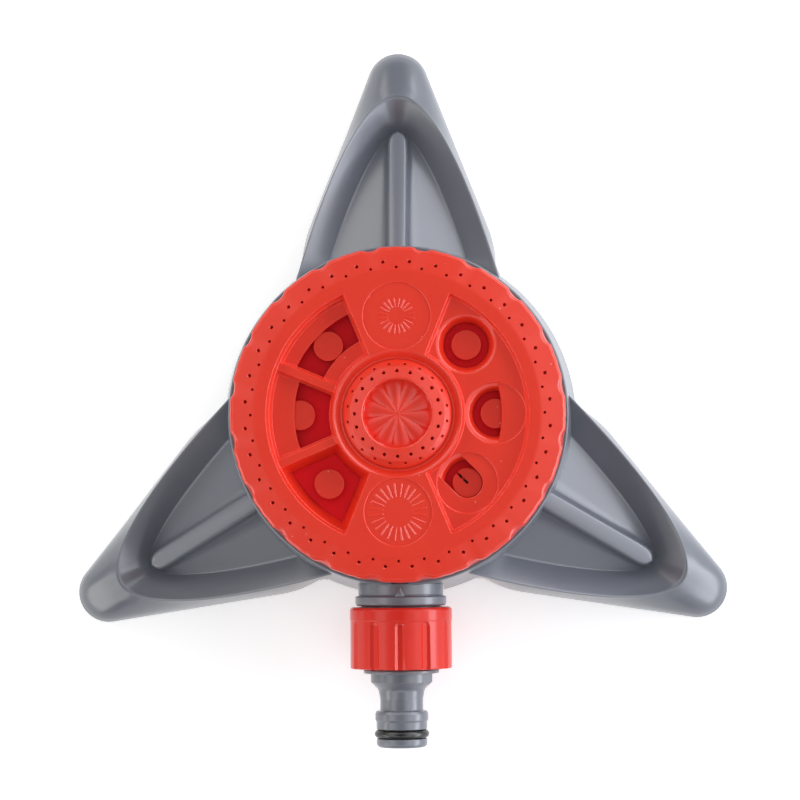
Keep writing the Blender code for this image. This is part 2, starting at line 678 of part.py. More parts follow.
def make_manifold():
    # Port plate under the dial, with the spindle that carries it in the base
    spindle, foot = PIVOT_BORE - GAP, 17.5
    profile = (
        (0, PLATE_TOP), (PLATE_RADIUS, PLATE_TOP), (PLATE_RADIUS, PLATE_BOTTOM + 0.6),
        (PLATE_RADIUS - 0.6, PLATE_BOTTOM), (spindle, PLATE_BOTTOM),
        (spindle, foot + 0.5), (spindle - 0.5, foot), (0, foot))
    plate = turned("manifold_plate", profile, turret, DEEP_RED, steps=40, start=2)

    # Pairs of low bumps under the plate make a click stop at each pattern
    bumps = bmesh.new()
    for i in range(STATIONS):
        for side in (-5, 5):
            angle = i * 360 / STATIONS + side
            outlines = [[(DETENT_RADIUS + x, y) for x, y in
                         ((-1.8, -wide), (1.8, -wide), (1.8, wide), (-1.8, wide))]
                        for wide in (0.4, 1.4)]
            add_prism(bumps, *outlines, PLATE_BOTTOM - 0.7, PLATE_BOTTOM + 0.5)
            bumps.verts.ensure_lookup_table()
            made = bumps.verts[-8:]
            bmesh.ops.rotate(bumps, verts=made, matrix=Matrix.Rotation(radians(angle), 3, "Z"))
    boolean(plate, add("click_bumps", mesh_from("click_bumps", bumps), turret), "UNION")

    work = bmesh.new()
    for i in range(STATIONS):
        middle = polar(STATION_RADIUS, i * 360 / STATIONS)
        add_rod(work, (*middle, PLATE_BOTTOM - 1), (*middle, PLATE_TOP + 1), PORT_RADIUS, 10)
    add_rod(work, (0, 0, foot - 1), (0, 0, 29), 2.2, 10)
    boolean(plate, add("ports", mesh_from("ports", work), turret))
    return plate


def make_nozzles():
    # A deflector button on a stem with three fins, pressed into the plate's port
    fin_top, foot = PLATE_TOP - 0.4, PLATE_BOTTOM + 0.4
    profile = ((0, BUTTON_TOP), (BUTTON_RADIUS, BUTTON_TOP), (BUTTON_RADIUS, BUTTON_TOP - 1.5),
               (1.9, BUTTON_TOP - 2.6), (1.7, foot), (0, foot))
    names = (("nozzle_round", 45), ("nozzle_half", 0), ("nozzle_slot", -45),
             ("nozzle_band", 135), ("nozzle_wide", 180), ("nozzle_open", 225))
    for name, angle in names:
        place = (*polar(STATION_RADIUS, angle), 0)
        nozzle = turned(name, profile, turret, RED, steps=16, place=place, turn=(0, 0, angle))
        for turn in (0, 120, 240):
            fin = block(f"{name}_fin_{turn}", (0.4, -0.6, foot + 0.1),
                        (PORT_RADIUS - GAP, 0.6, fin_top), nozzle, turn=(0, 0, turn))
            boolean(nozzle, fin, "UNION")
        if name == "nozzle_slot":
            slot = block("button_slot", (-6, -0.38, 39.3), (0.3, 0.38, 42), nozzle)
            boolean(nozzle, slot)


def make_retainer():
    # Washer and screw that hold the dial's spindle under the base's boss
    low, high = 16.2, 17.2
    turned("retaining_washer", ((7.4, high), (7.4, low), (2.2, low), (2.2, high)), turret,
           STEEL, steps=18)
    top = low - GAP
    turned("retaining_screw", (
        (0, 28), (1.9, 26.6), (1.9, top), (3.6, top), (3.6, top - 1.0),
        (2.6, top - 2.0), (1.2, top - 2.0), (0, top - 0.9)), turret, STEEL, steps=14)


# Hose end

def make_union_nut():
    inside = SPIGOT_RADIUS + 0.5
    lip = 77.7
    profile = (
        (inside, NUT_START), (NUT_RADIUS - 0.8, NUT_START), (NUT_RADIUS, NUT_START + 0.8),
        (NUT_RADIUS, NUT_END - 0.6), (NUT_RADIUS - 0.6, NUT_END), (10.7, NUT_END),
        (10.7, lip), (inside, lip))
    nut = turned("union_nut", profile[::-1], tail, RED, steps=36, start=3)
    # Grip grooves, round at their closed ends
    size, top = 1.95, 68.4
    grooves, ends = bmesh.new(), bmesh.new()
    for i in range(NUT_GROOVES):
        x, y = polar(NUT_RADIUS + 0.85, i * 360 / NUT_GROOVES)
        add_rod(grooves, (x, y, top), (x, y, NUT_END + 1), size, 10)
        bmesh.ops.create_uvsphere(ends, u_segments=8, v_segments=4, radius=size * MM * 0.97,
                                  matrix=Matrix.Translation(Vector((x, y, top)) * MM))
    boolean(nut, add("grip_grooves", mesh_from("grip_grooves", grooves), tail))
    boolean(nut, add("groove_ends", mesh_from("groove_ends", ends), tail))
    return nut


def make_hose_tail():
    # Swivel sleeve held by the nut, and the quick-connector tail pressed into it
    flange, back = 75.1, 77.3
    turned("swivel_sleeve", (
        (8.9, flange), (12.0, flange), (12.0, back), (10.3, back), (10.3, 82.6), (8.9, 82.6)
    )[::-1], tail, GREY, steps=24)

    waist, ridge, body, bore = 7.05, 8.7, 8.3, 5.2
    groove, ring = 6.25, (102.4, 105.4)
    turned("hose_tail", (
        (bore, 75.6), (8.6, 75.6), (8.6, 82.9), (12.45, 82.9), (12.45, 84.1),
        (10.1, 84.1), (10.1, 86.0), (waist + 0.4, 88.0), (waist, 89.0),
        (waist, 96.2), (ridge, 96.8), (ridge, 99.3), (body, 99.8),
        (body, ring[0]), (groove, ring[0]), (groove, ring[1]), (body, ring[1]),
        (body, TAIL_END - 1.0), (body - 0.8, TAIL_END), (bore, TAIL_END)
    )[::-1], tail, GREY, steps=26)

    middle, size = sum(ring) / 2, 1.2
    loop = [(groove + GAP + size + r, middle + z) for r, z in arc(size, 90, -270, 8)[:-1]]
    turned("tail_o_ring", loop, tail, RUBBER, steps=24)
    turned("inlet_washer", (
        (7.4, 72.8), (11.8, 72.8), (11.8, 74.8), (7.4, 74.8))[::-1], tail, RUBBER, steps=20)


axis = empty("dial_axis", (0, AXIS_Y, 0))
turret = empty("turret", (0, 0, 0), parent=axis)
inlet = empty("inlet_axis", (0, 0, INLET_HEIGHT), (90, 0, 0), axis)
tail = empty("tail_axis", (0, 0, 0), parent=inlet)

make_base()
make_valve_body()
make_screws()
make_port_seal()
make_detent()
make_manifold()
make_spray_face()
make_centre_cone()
make_nozzles()
make_retainer()
make_union_nut()
make_hose_tail()
bpy.context.view_layer.update()
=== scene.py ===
from math import asin, cos, degrees, exp, hypot, pi, radians, sin

import bmesh
import bpy
from mathutils import Matrix, Vector


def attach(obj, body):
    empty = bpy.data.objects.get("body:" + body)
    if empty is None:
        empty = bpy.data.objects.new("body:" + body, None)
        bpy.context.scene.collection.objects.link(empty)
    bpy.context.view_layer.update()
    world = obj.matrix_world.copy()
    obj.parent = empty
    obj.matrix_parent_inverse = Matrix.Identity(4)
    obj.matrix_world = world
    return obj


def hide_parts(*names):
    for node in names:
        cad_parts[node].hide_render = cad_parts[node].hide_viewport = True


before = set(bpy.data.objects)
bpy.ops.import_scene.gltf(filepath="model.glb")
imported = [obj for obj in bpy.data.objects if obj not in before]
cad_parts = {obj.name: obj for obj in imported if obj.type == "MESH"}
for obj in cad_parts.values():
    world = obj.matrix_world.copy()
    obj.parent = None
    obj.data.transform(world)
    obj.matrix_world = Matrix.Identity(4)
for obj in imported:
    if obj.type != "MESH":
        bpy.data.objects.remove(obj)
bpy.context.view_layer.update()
print("frame loaded")

mm = 0.001
dialY = -8.0                 # the dial's axis, on the middle line
hoseHeight = 21.5
toMetres = Matrix.Diagonal((mm, mm, mm, 1))
dialPlace = Matrix.Translation((0, dialY * mm, 0)) @ toMetres
hosePlace = (Matrix.Translation((0, dialY * mm, hoseHeight * mm))
             @ Matrix.Rotation(radians(90), 4, "X") @ toMetres)
hoseInDial = dialPlace.inverted() @ hosePlace
scene = bpy.context.scene


# Shared helpers

def makeObject(name, data):
    made = bpy.data.objects.new(name, data)
    scene.collection.objects.link(made)
    return made


def newMesh(name, points, faces):
    mesh = bpy.data.meshes.new(name)
    mesh.from_pydata(points, [], faces)
    return mesh


def linear(code):
    # sRGB hex to linear colour with full alpha
    channels = [int(code[i:i + 2], 16) / 255 for i in (1, 3, 5)]
    return (*(c / 12.92 if c <= 0.04045 else ((c + 0.055) / 1.055) ** 2.4 for c in channels), 1)


def addNode(tree, kind, links=None, inputs=None, **settings):
    # Links go to sockets and come from a node's first output or a named one, inputs are
    # the values of sockets, and settings are properties of the node.
    node = tree.nodes.new(kind)
    for key, value in settings.items():
        setattr(node, key, value)
    for key, value in (inputs or {}).items():
        node.inputs[key].default_value = value
    for key, source in (links or {}).items():
        tree.links.new(source.outputs[0] if isinstance(source, bpy.types.Node) else source, node.inputs[key])
    return node


def newMaterial(name, values):
    made = bpy.data.materials.new(name)
    made.use_nodes = True
    shader = made.node_tree.nodes["Principled BSDF"]
    for label, value in values.items():
        shader.inputs[label].default_value = value
    return made, made.node_tree, shader


# Camera, lights and floor

cameraSetup = {
    "place": (22.34, -48.02, 956.04),     # about a metre above the dial
    "tilts": (2.797, 1.35, -0.561),       # degrees about x, y and z
    "focalPixels": 2836.9, "frameSize": 800, "sensorWidth": 36}

lampTarget = (0, 0, 0.03)
lamps = {
    # name: (place in metres, size in metres, watts, colour), all aimed at the dial
    "nearLeft": ((-1.33, -0.76, 0.36), (1.3, 0.5), 8.0, "#FFFDF8"),
    "farLeft": ((-1.0, 1.06, 0.6), (1.5, 0.6), 8.0, "#FFFDF8"),
    "nearRight": ((1.47, -0.42, 0.4), (1.5, 0.55), 14.0, "#F1F5FF"),
    "farRight": ((1.15, 0.96, 0.6), (1.7, 0.7), 13.0, "#F1F5FF"),
    "overhead": ((0.05, 0.1, 1.4), (1.2, 1.2), 3.4, "#FFFFFF")}

# What reflections show: white screens low at the right and left and a white band higher up,
# dim in front and straight overhead. Each ramp runs along one axis of the direction:
# axis, start, end, strength at the start, strength at the end
studio = {
    "right": ("X", 0.06, 0.7, 0.1, 2.2), "left": ("X", -0.06, -0.6, 0.0, 0.3),
    "lowEnd": ("Z", 0.45, 0.62, 1.0, 0.3), "lowFront": ("Y", -0.5, 0.0, 0.6, 1.0),
    "bandStart": ("Z", 0.44, 0.58, 0.0, 1.0), "bandEnd": ("Z", 0.78, 0.9, 1.0, 0.0),
    "bandFront": ("Y", -0.6, 0.6, 1.6, 1.4), "bandLeft": ("X", -0.5, 0.3, 1.4, 1.0),
    "crownStart": ("Z", 0.6, 0.8, 0.0, 1.0), "crownRight": ("X", 0.08, 0.36, 0.0, 1.0),
    "crownLeft": ("X", -0.08, -0.36, 0.0, 0.5)}

# How the ramps are put together: result, operation and the two that it takes
studioSums = (
    ("sides", "ADD", "right", "left"), ("lowShape", "MULTIPLY", "lowEnd", "lowFront"),
    ("low", "MULTIPLY", "sides", "lowShape"), ("bandHeight", "MULTIPLY", "bandStart", "bandEnd"),
    ("bandShape", "MULTIPLY", "bandFront", "bandLeft"), ("band", "MULTIPLY", "bandHeight", "bandShape"),
    ("crownSides", "ADD", "crownRight", "crownLeft"), ("crown", "MULTIPLY", "crownStart", "crownSides"),
    ("screens", "ADD", "low", "band"), ("whole", "ADD", "screens", "crown"))

plainSky = 0.36              # strength of the white light that falls on matt surfaces

floorSetup = {"half": 4.0, "drop": 0.0003, "colour": "#F1F1F2", "roughness": 0.8, "sheen": 0.1, "glow": 0.45}


def makeCamera(setup):
    data = bpy.data.cameras.new("camera")
    data.sensor_width = setup["sensorWidth"]
    data.lens = setup["sensorWidth"] * setup["focalPixels"] / setup["frameSize"]
    data.clip_start = 0.05
    place = Matrix.Translation(Vector(setup["place"]) * mm)
    for axis, tilt in zip("XYZ", setup["tilts"]):
        place = place @ Matrix.Rotation(radians(tilt), 4, axis)
    made = makeObject("camera", data)
    made.matrix_world = place
    scene.camera = made


def makeLamps():
    for name, (place, size, watts, colour) in lamps.items():
        data = bpy.data.lights.new(name, "AREA")
        data.shape = "RECTANGLE"
        data.size, data.size_y = size
        data.energy = watts
        data.color = linear(colour)[:3]
        made = makeObject(name, data)
        made.location = place
        made.rotation_euler = (Vector(lampTarget) - Vector(place)).to_track_quat("-Z", "Y").to_euler()
        made.visible_glossy = name != "overhead"


def makeWorld():
    world = bpy.data.worlds.new("studio")
    scene.world = world
    world.use_nodes = True
    tree = world.node_tree
    tree.nodes.clear()
    white = linear("#FFFFFF")
    path = addNode(tree, "ShaderNodeLightPath")
    direction = addNode(tree, "ShaderNodeTexCoord").outputs["Generated"]
    toward = addNode(tree, "ShaderNodeSeparateXYZ", {0: direction})
    parts = {}
    for name, (axis, start, end, first, last) in studio.items():
        parts[name] = addNode(tree, "ShaderNodeMapRange", {"Value": toward.outputs[axis]},
                              {"From Min": start, "From Max": end, "To Min": first, "To Max": last})
    for name, operation, first, second in studioSums:
        parts[name] = addNode(tree, "ShaderNodeMath", {0: parts[first], 1: parts[second]},
                              operation=operation)
    mirrored = addNode(tree, "ShaderNodeMath", {0: path.outputs["Is Glossy Ray"],
                                                1: path.outputs["Is Transmission Ray"]}, operation="MAXIMUM")
    plain = addNode(tree, "ShaderNodeBackground", None, {"Color": white, "Strength": plainSky})
    sides = addNode(tree, "ShaderNodeBackground", {"Strength": parts["whole"]}, {"Color": white})
    seen = addNode(tree, "ShaderNodeBackground", None, {"Color": white, "Strength": 1.0})
    light = addNode(tree, "ShaderNodeMixShader", {0: mirrored, 1: plain, 2: sides})
    mix = addNode(tree, "ShaderNodeMixShader", {0: path.outputs["Is Camera Ray"], 1: light, 2: seen})
    addNode(tree, "ShaderNodeOutputWorld", {"Surface": mix})


def makeFloor(setup):
    # Pale floor that reads as white to the camera and keeps a soft shadow
    half = setup["half"]
    corners = [(-half, -half, 0), (half, -half, 0), (half, half, 0), (-half, half, 0)]
    floor = makeObject("floor", newMesh("floor", corners, [(0, 1, 2, 3)]))
    floor.location.z = -setup["drop"]
    made, tree, shader = newMaterial("paperSweep", {
        "Base Color": linear(setup["colour"]), "Roughness": setup["roughness"],
        "Specular IOR Level": setup["sheen"]})
    path = addNode(tree, "ShaderNodeLightPath")
    seen = addNode(tree, "ShaderNodeMath", {0: path.outputs["Is Camera Ray"],
                                            1: path.outputs["Is Glossy Ray"]}, operation="MAXIMUM")
    glow = addNode(tree, "ShaderNodeEmission", None, {"Color": linear("#FFFFFF"), "Strength": setup["glow"]})
    both = addNode(tree, "ShaderNodeAddShader", {0: shader, 1: glow})
    mix = addNode(tree, "ShaderNodeMixShader", {0: seen, 1: shader, 2: both})
    tree.links.new(mix.outputs[0], tree.nodes["Material Output"].inputs["Surface"])
    floor.data.materials.append(made)


makeCamera(cameraSetup)
makeLamps()
makeWorld()
makeFloor(floorSetup)
scene.view_settings.view_transform = "Standard"
print("camera, lamps and floor placed")


# Materials

def plastic(name, look):
    # Injection-moulded plastic: faint flow mottle, fine texture, handling specks and dust
    made, tree, shader = newMaterial(name, {
        "IOR": look.get("ior", 1.5), "Specular IOR Level": look.get("sheen", 0.5), "Metallic": 0,
        "Coat Weight": look.get("coat", 0), "Coat Roughness": look.get("coatRoughness", 0.12)})
    if "scatter" in look:
        shader.inputs["Subsurface Weight"].default_value = look["scatter"]
        shader.inputs["Subsurface Scale"].default_value = look["scatterDepth"] * mm
        shader.inputs["Subsurface Radius"].default_value = look["scatterReach"]
    place = addNode(tree, "ShaderNodeTexCoord").outputs["Object"]
    noise = {}
    for part, size, detail, roughness in (
            ("flow", look["flowSize"], 3, 0.55), ("patch", 9, 2, 0.5), ("polish", look["polishSize"], 4, 0.6),
            ("grain", look["grainSize"], 2, 0.6), ("wave", look["waveSize"], 1, 0.5)):
        noise[part] = addNode(tree, "ShaderNodeTexNoise", {"Vector": place},
                              {"Scale": 1 / (size * mm), "Detail": detail, "Roughness": roughness})
    tint = addNode(tree, "ShaderNodeMixRGB", {"Fac": noise["flow"]},
                   {"Color1": linear(look["shade"]), "Color2": linear(look["colour"])})
    pale = linear(look["speckColour"])
    # Pale handling specks, thinly scattered: drawn 0.25 to 0.4 mm in radius so that they show
    cells = addNode(tree, "ShaderNodeTexVoronoi", {"Vector": place},
                    {"Scale": 1 / (look["speckSpacing"] * mm)})
    drawn = addNode(tree, "ShaderNodeSeparateColor", {"Color": cells.outputs["Color"]})
    kept = addNode(tree, "ShaderNodeMath", {0: drawn.outputs["Red"]}, {1: 1 - look["speckShare"]},
                   operation="GREATER_THAN")
    dot = addNode(tree, "ShaderNodeMapRange", {"Value": cells.outputs["Distance"]},
                  {"From Min": 0.02, "From Max": look["speckSize"], "To Min": look["speckStrength"],
                   "To Max": 0.0})
    speck = addNode(tree, "ShaderNodeMath", {0: kept, 1: dot}, operation="MULTIPLY")
    spotted = addNode(tree, "ShaderNodeMixRGB", {"Fac": speck, "Color1": tint}, {"Color2": pale})
    # Finer dust that gathers in patches
    gathers = addNode(tree, "ShaderNodeMapRange", {"Value": noise["patch"]},
                      {"From Min": 0.62, "From Max": 0.75, "To Min": 0.0, "To Max": 0.3})
    cells = addNode(tree, "ShaderNodeTexVoronoi", {"Vector": place},
                    {"Scale": 1 / (look["dustSpacing"] * mm)})
    drawn = addNode(tree, "ShaderNodeSeparateColor", {"Color": cells.outputs["Color"]})
    kept = addNode(tree, "ShaderNodeMath", {0: drawn.outputs["Green"], 1: gathers}, operation="LESS_THAN")
    dot = addNode(tree, "ShaderNodeMapRange", {"Value": cells.outputs["Distance"]},
                  {"From Min": 0.04, "From Max": 0.16, "To Min": look["dustStrength"], "To Max": 0.0})
    dust = addNode(tree, "ShaderNodeMath", {0: kept, 1: dot}, operation="MULTIPLY")
    dusty = addNode(tree, "ShaderNodeMixRGB", {"Fac": dust, "Color1": spotted}, {"Color2": pale})
    tree.links.new(dusty.outputs[0], shader.inputs["Base Color"])
    # Roughness: slightly uneven polish of the mould
    rough = addNode(tree, "ShaderNodeMapRange", {"Value": noise["polish"]},
                    {"To Min": look["roughLow"], "To Max": look["roughHigh"]})
    tree.links.new(rough.outputs[0], shader.inputs["Roughness"])
    # Bump: spark-eroded mould texture and a very slow waviness of the cooled wall
    grainBump = addNode(tree, "ShaderNodeBump", {"Height": noise["grain"]},
                        {"Strength": look["grainStrength"], "Distance": 0.02 * mm})
    waveBump = addNode(tree, "ShaderNodeBump", {"Height": noise["wave"], "Normal": grainBump},
                       {"Strength": look["waveStrength"], "Distance": 0.3 * mm})
    tree.links.new(waveBump.outputs[0], shader.inputs["Normal"])
    return made


# Every size below is in millimetres; a speck's size is its radius as a share of the spacing

# Grey polypropylene base: satin, cool grey, with a soft sheen on its ridges
greyPlastic = plastic("greyPolypropylene", {
    "colour": "#70747D", "shade": "#676B74", "flowSize": 28, "speckColour": "#B9BCC4",
    "speckSpacing": 9, "speckShare": 0.12, "speckSize": 0.035, "speckStrength": 0.3,
    "dustSpacing": 1.3, "dustStrength": 0.0,
    "polishSize": 7, "roughLow": 0.26, "roughHigh": 0.34, "grainSize": 0.45, "grainStrength": 0.04,
    "waveSize": 22, "waveStrength": 0.06, "coat": 0.4, "coatRoughness": 0.2})

# Orange-red ABS dial: satin to gloss, lets a little light through at its edges
redPlastic = plastic("redAbs", {
    "colour": "#EC3A24", "shade": "#E63420", "flowSize": 16, "sheen": 0.42, "speckColour": "#F5B6A6",
    "speckSpacing": 4.2, "speckShare": 0.4, "speckSize": 0.065, "speckStrength": 0.8,
    "dustSpacing": 1.0, "dustStrength": 0.4,
    "polishSize": 5, "roughLow": 0.26, "roughHigh": 0.36, "grainSize": 0.4, "grainStrength": 0.04,
    "waveSize": 14, "waveStrength": 0.05, "coat": 0.22, "coatRoughness": 0.1,
    "scatter": 0.12, "scatterDepth": 1.2, "scatterReach": (1.0, 0.25, 0.1)})

# Deeper red ABS of the union nut, with a thin gloss over it
nutPlastic = plastic("redAbsNut", {
    "colour": "#E22E1E", "shade": "#DA291C", "flowSize": 12, "sheen": 0.2, "speckColour": "#F0A89C",
    "speckSpacing": 6, "speckShare": 0.12, "speckSize": 0.05, "speckStrength": 0.6,
    "dustSpacing": 1.0, "dustStrength": 0.15,
    "polishSize": 4, "roughLow": 0.2, "roughHigh": 0.28, "grainSize": 0.5, "grainStrength": 0.06,
    "waveSize": 9, "waveStrength": 0.06, "coat": 0.25, "coatRoughness": 0.05})

# Red ABS of the plate under the windows, the same plastic as the dial but with the green taken out of its
# colour: painted shade for the saturated crimson deep in the windows; duller, from a coarser mould
paintedShadeRed = plastic("redAbsPaintedShade", {
    "colour": "#EC0E20", "shade": "#DE0C1E", "flowSize": 12, "sheen": 0.15, "speckColour": "#D8605A",
    "speckSpacing": 8, "speckShare": 0.1, "speckSize": 0.05, "speckStrength": 0.3,
    "dustSpacing": 1.5, "dustStrength": 0.1,
    "polishSize": 5, "roughLow": 0.4, "roughHigh": 0.5, "grainSize": 0.4, "grainStrength": 0.12,
    "waveSize": 12, "waveStrength": 0.05})

# Black nitrile rubber: greased, so that its dark, grainy skin shows a clear highlight
blackRubber = plastic("nitrileRubber", {
    "colour": "#1B1C1E", "shade": "#131415", "flowSize": 5, "speckColour": "#3A3C3E",
    "speckSpacing": 2.5, "speckShare": 0.2, "speckSize": 0.1, "speckStrength": 0.5,
    "dustSpacing": 0.6, "dustStrength": 0.3,
    "polishSize": 2, "roughLow": 0.2, "roughHigh": 0.32, "grainSize": 0.25, "grainStrength": 0.25,
    "waveSize": 5, "waveStrength": 0.05, "ior": 1.52})


def steelMaterial(look):
    # Bright metal with slightly uneven plating over a fine grain
    made, tree, shader = newMaterial("zincPlatedSteel", {"Metallic": 1})
    place = addNode(tree, "ShaderNodeTexCoord").outputs["Object"]
    blotch, grain = (addNode(tree, "ShaderNodeTexNoise", {"Vector": place},
                             {"Scale": 1 / (size * mm), "Detail": detail})
                     for size, detail in ((look["blotchSize"], 4), (look["grainSize"], 2)))
    tint = addNode(tree, "ShaderNodeMixRGB", {"Fac": blotch},
                   {"Color1": linear(look["shade"]), "Color2": linear(look["colour"])})
    rough = addNode(tree, "ShaderNodeMapRange", {"Value": blotch},
                    {"To Min": look["roughLow"], "To Max": look["roughHigh"]})
    bump = addNode(tree, "ShaderNodeBump", {"Height": grain},
                   {"Strength": look["grainStrength"], "Distance": 0.01 * mm})
    for label, source in (("Base Color", tint), ("Roughness", rough), ("Normal", bump)):
        tree.links.new(source.outputs[0], shader.inputs[label])
    return made


# Zinc-plated steel of the screws, the washer and the springs
zincSteel = steelMaterial({
    "colour": "#D2D4D2", "shade": "#B9BDC0", "blotchSize": 3, "roughLow": 0.22, "roughHigh": 0.36,
    "grainSize": 0.3, "grainStrength": 0.1})
print("materials made")


# Mesh helpers

def polar(radius, angle, centre=(0, 0)):
    return centre[0] + radius * cos(radians(angle)), centre[1] + radius * sin(radians(angle))


def arc(radius, start, end, count, centre=(0, 0)):
    return [polar(radius, start + (end - start) * i / count, centre) for i in range(count + 1)]


def softened(points, steps=4, loop=True):
    # Rounds the corners of an outline: each point is (a, b) or (a, b, radius).
    made = []
    count = len(points)
    for i, point in enumerate(points):
        here = Vector(point[:2])
        size = point[2] if len(point) > 2 else 0
        if size == 0 or (not loop and i in (0, count - 1)):
            made.append(tuple(here))
            continue
        before = Vector(points[i - 1][:2]) - here
        after = Vector(points[(i + 1) % count][:2]) - here
        half = before.angle(after) / 2
        reach = min(size / max(sin(half), 1e-6) * cos(half), before.length * 0.48, after.length * 0.48)
        radius = reach * sin(half) / cos(half)
        middle = here + (before.normalized() + after.normalized()).normalized() * (radius / sin(half))
        first = here + before.normalized() * reach - middle
        last = here + after.normalized() * reach - middle
        turn = first.angle_signed(last)
        for k in range(steps + 1):
            share = -turn * k / steps
            c, s = cos(share), sin(share)
            made.append((middle.x + first.x * c - first.y * s, middle.y + first.x * s + first.y * c))
    return made


def closeMesh(mesh, distance=0.0005):
    # Merges doubles and turns every face outwards.
    work = bmesh.new()
    work.from_mesh(mesh)
    bmesh.ops.remove_doubles(work, verts=work.verts, dist=distance)
    bmesh.ops.dissolve_degenerate(work, edges=work.edges, dist=distance / 10)
    bmesh.ops.recalc_face_normals(work, faces=work.faces)
    work.to_mesh(mesh)
    work.free()
    return mesh


def revolved(name, outline, rounding, steps, loop=True, warp=None):
    # Rounds an outline of (radius, height) points and turns it round the local z axis;
    # warp may move each point. An outline that isn't a loop starts and ends on the axis.
    profile = softened(outline, rounding, loop)
    points, faces = [], []
    rows = len(profile)
    for i in range(steps):
        angle = 360 * i / steps
        for radius, height in profile:
            if warp:
                radius, height = warp(radius, height, angle)
            points.append((*polar(radius, angle), height))
    for i in range(steps):
        j = (i + 1) % steps
        for k in range(rows if loop else rows - 1):
            m = (k + 1) % rows
            faces.append((i * rows + k, j * rows + k, j * rows + m, i * rows + m))
    return closeMesh(newMesh(name, points, faces))


def lofted(name, rings):
    # Joins rings of equal count, bottom to top, and caps both ends.
    count = len(rings[0])
    points = [point for ring in rings for point in ring]
    faces = [tuple(range(count)), tuple(range(len(points) - count, len(points)))]
    for level in range(len(rings) - 1):
        low, high = level * count, (level + 1) * count
        for i in range(count):
            j = (i + 1) % count
            faces.append((low + i, low + j, high + j, high + i))
    return closeMesh(newMesh(name, points, faces))


def upright(name, outline, levels):
    # Lofts one flat outline of (x, y) points through the levels
    return lofted(name, [[(x, y, z) for x, y in outline] for z in levels])


def bar(name, levels):
    # Lofts rectangles: (height, near end, far end, half width, half width at the far end)
    rings = []
    for z, near, far, half, *tip in levels:
        wide = tip[0] if tip else half
        rings.append([(near, -half, z), (far, -wide, z), (far, wide, z), (near, half, z)])
    return lofted(name, rings)


def rodMesh(name, start, end, radius, sides):
    # A closed rod between two points
    start, end = Vector(start), Vector(end)
    turn = (end - start).to_track_quat("Z", "Y").to_matrix()
    return lofted(name, [[tuple(middle + turn @ Vector((*polar(radius, 360 * i / sides), 0)))
                          for i in range(sides)] for middle in (start, end)])


def turned(mesh, angle):
    mesh.transform(Matrix.Rotation(radians(angle), 4, "Z"))
    return mesh


def shifted(mesh, x=0, y=0, z=0):
    mesh.transform(Matrix.Translation((x, y, z)))
    return mesh


def evaluated(thing):
    # Puts the result of the modifiers into the object's own mesh.
    shape = bpy.data.meshes.new_from_object(thing.evaluated_get(bpy.context.evaluated_depsgraph_get()))
    thing.modifiers.clear()
    thing.data = shape
    return thing


def combine(target, meshes, operation="DIFFERENCE"):
    # Cuts or joins the meshes, one after another, and takes the helpers away.
    helpers = []
    for mesh in meshes:
        helper = makeObject(mesh.name + "Tool", mesh)
        helpers.append(helper)
        step = target.modifiers.new(mesh.name, "BOOLEAN")
        step.operation = operation
        step.solver = "EXACT"
        step.object = helper
        step.use_hole_tolerant = False
    evaluated(target)
    for helper in helpers:
        bpy.data.objects.remove(helper)
    return target


def finishPiece(thing, place, material, body, nodes, angle=34):
    # Places the mesh, shades it, and hands the piece to the frame.
    mesh = thing.data
    mesh.transform(place)
    mesh.materials.clear()
    mesh.materials.append(material)
    mesh.polygons.foreach_set("material_index", [0] * len(mesh.polygons))
    mesh.shade_smooth()
    mesh.set_sharp_from_angle(angle=radians(angle))
    even = thing.modifiers.new("evenShading", "WEIGHTED_NORMAL")
    even.keep_sharp = True
    even.weight = 60
    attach(thing, body)
    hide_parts(*nodes)
    print(thing.name, "made,", len(mesh.polygons), "faces")
    return thing


# Geometry nodes

def nodeTree(name, inputs):
    tree = bpy.data.node_groups.new(name, "GeometryNodeTree")
    tree.interface.new_socket("Geometry", in_out="INPUT", socket_type="NodeSocketGeometry")
    for label, kind in inputs:
        tree.interface.new_socket(label, in_out="INPUT", socket_type="NodeSocket" + kind)
    tree.interface.new_socket("Material", in_out="INPUT", socket_type="NodeSocketMaterial")
    tree.interface.new_socket("Geometry", in_out="OUTPUT", socket_type="NodeSocketGeometry")
    return tree, addNode(tree, "NodeGroupInput").outputs


def endTree(tree, given, shape):
    real = addNode(tree, "GeometryNodeRealizeInstances", {0: shape})
    painted = addNode(tree, "GeometryNodeSetMaterial", {"Geometry": real, "Material": given["Material"]})
    addNode(tree, "NodeGroupOutput", {0: painted})
    return tree


def grown(thing, tree, values):
    # Runs a tree on an object with named values and keeps the plain mesh.
    step = thing.modifiers.new(tree.name, "NODES")
    step.node_group = tree
    for item in tree.interface.items_tree:
        if item.in_out == "INPUT" and item.name in values:
            step[item.identifier] = values[item.name]
    shape = evaluated(thing).data
    bpy.data.objects.remove(thing)
    return shape


def ringTree():
    # Copies of the object's own mesh in a ring round the local z axis
    tree, given = nodeTree("ringOfCopies", (("Count", "Int"), ("First Angle", "Float")))
    line = addNode(tree, "GeometryNodeMeshLine", {"Count": given["Count"]}, {"Offset": (0, 0, 0)})
    index = addNode(tree, "GeometryNodeInputIndex")
    step = addNode(tree, "ShaderNodeMath", {1: given["Count"]}, {0: 2 * pi}, operation="DIVIDE")
    share = addNode(tree, "ShaderNodeMath", {0: index, 1: step}, operation="MULTIPLY")
    turn = addNode(tree, "ShaderNodeMath", {0: share, 1: given["First Angle"]}, operation="ADD")
    spin = addNode(tree, "ShaderNodeCombineXYZ", {"Z": turn})
    copies = addNode(tree, "GeometryNodeInstanceOnPoints",
                     {"Points": line, "Instance": given["Geometry"], "Rotation": spin})
    return endTree(tree, given, copies)


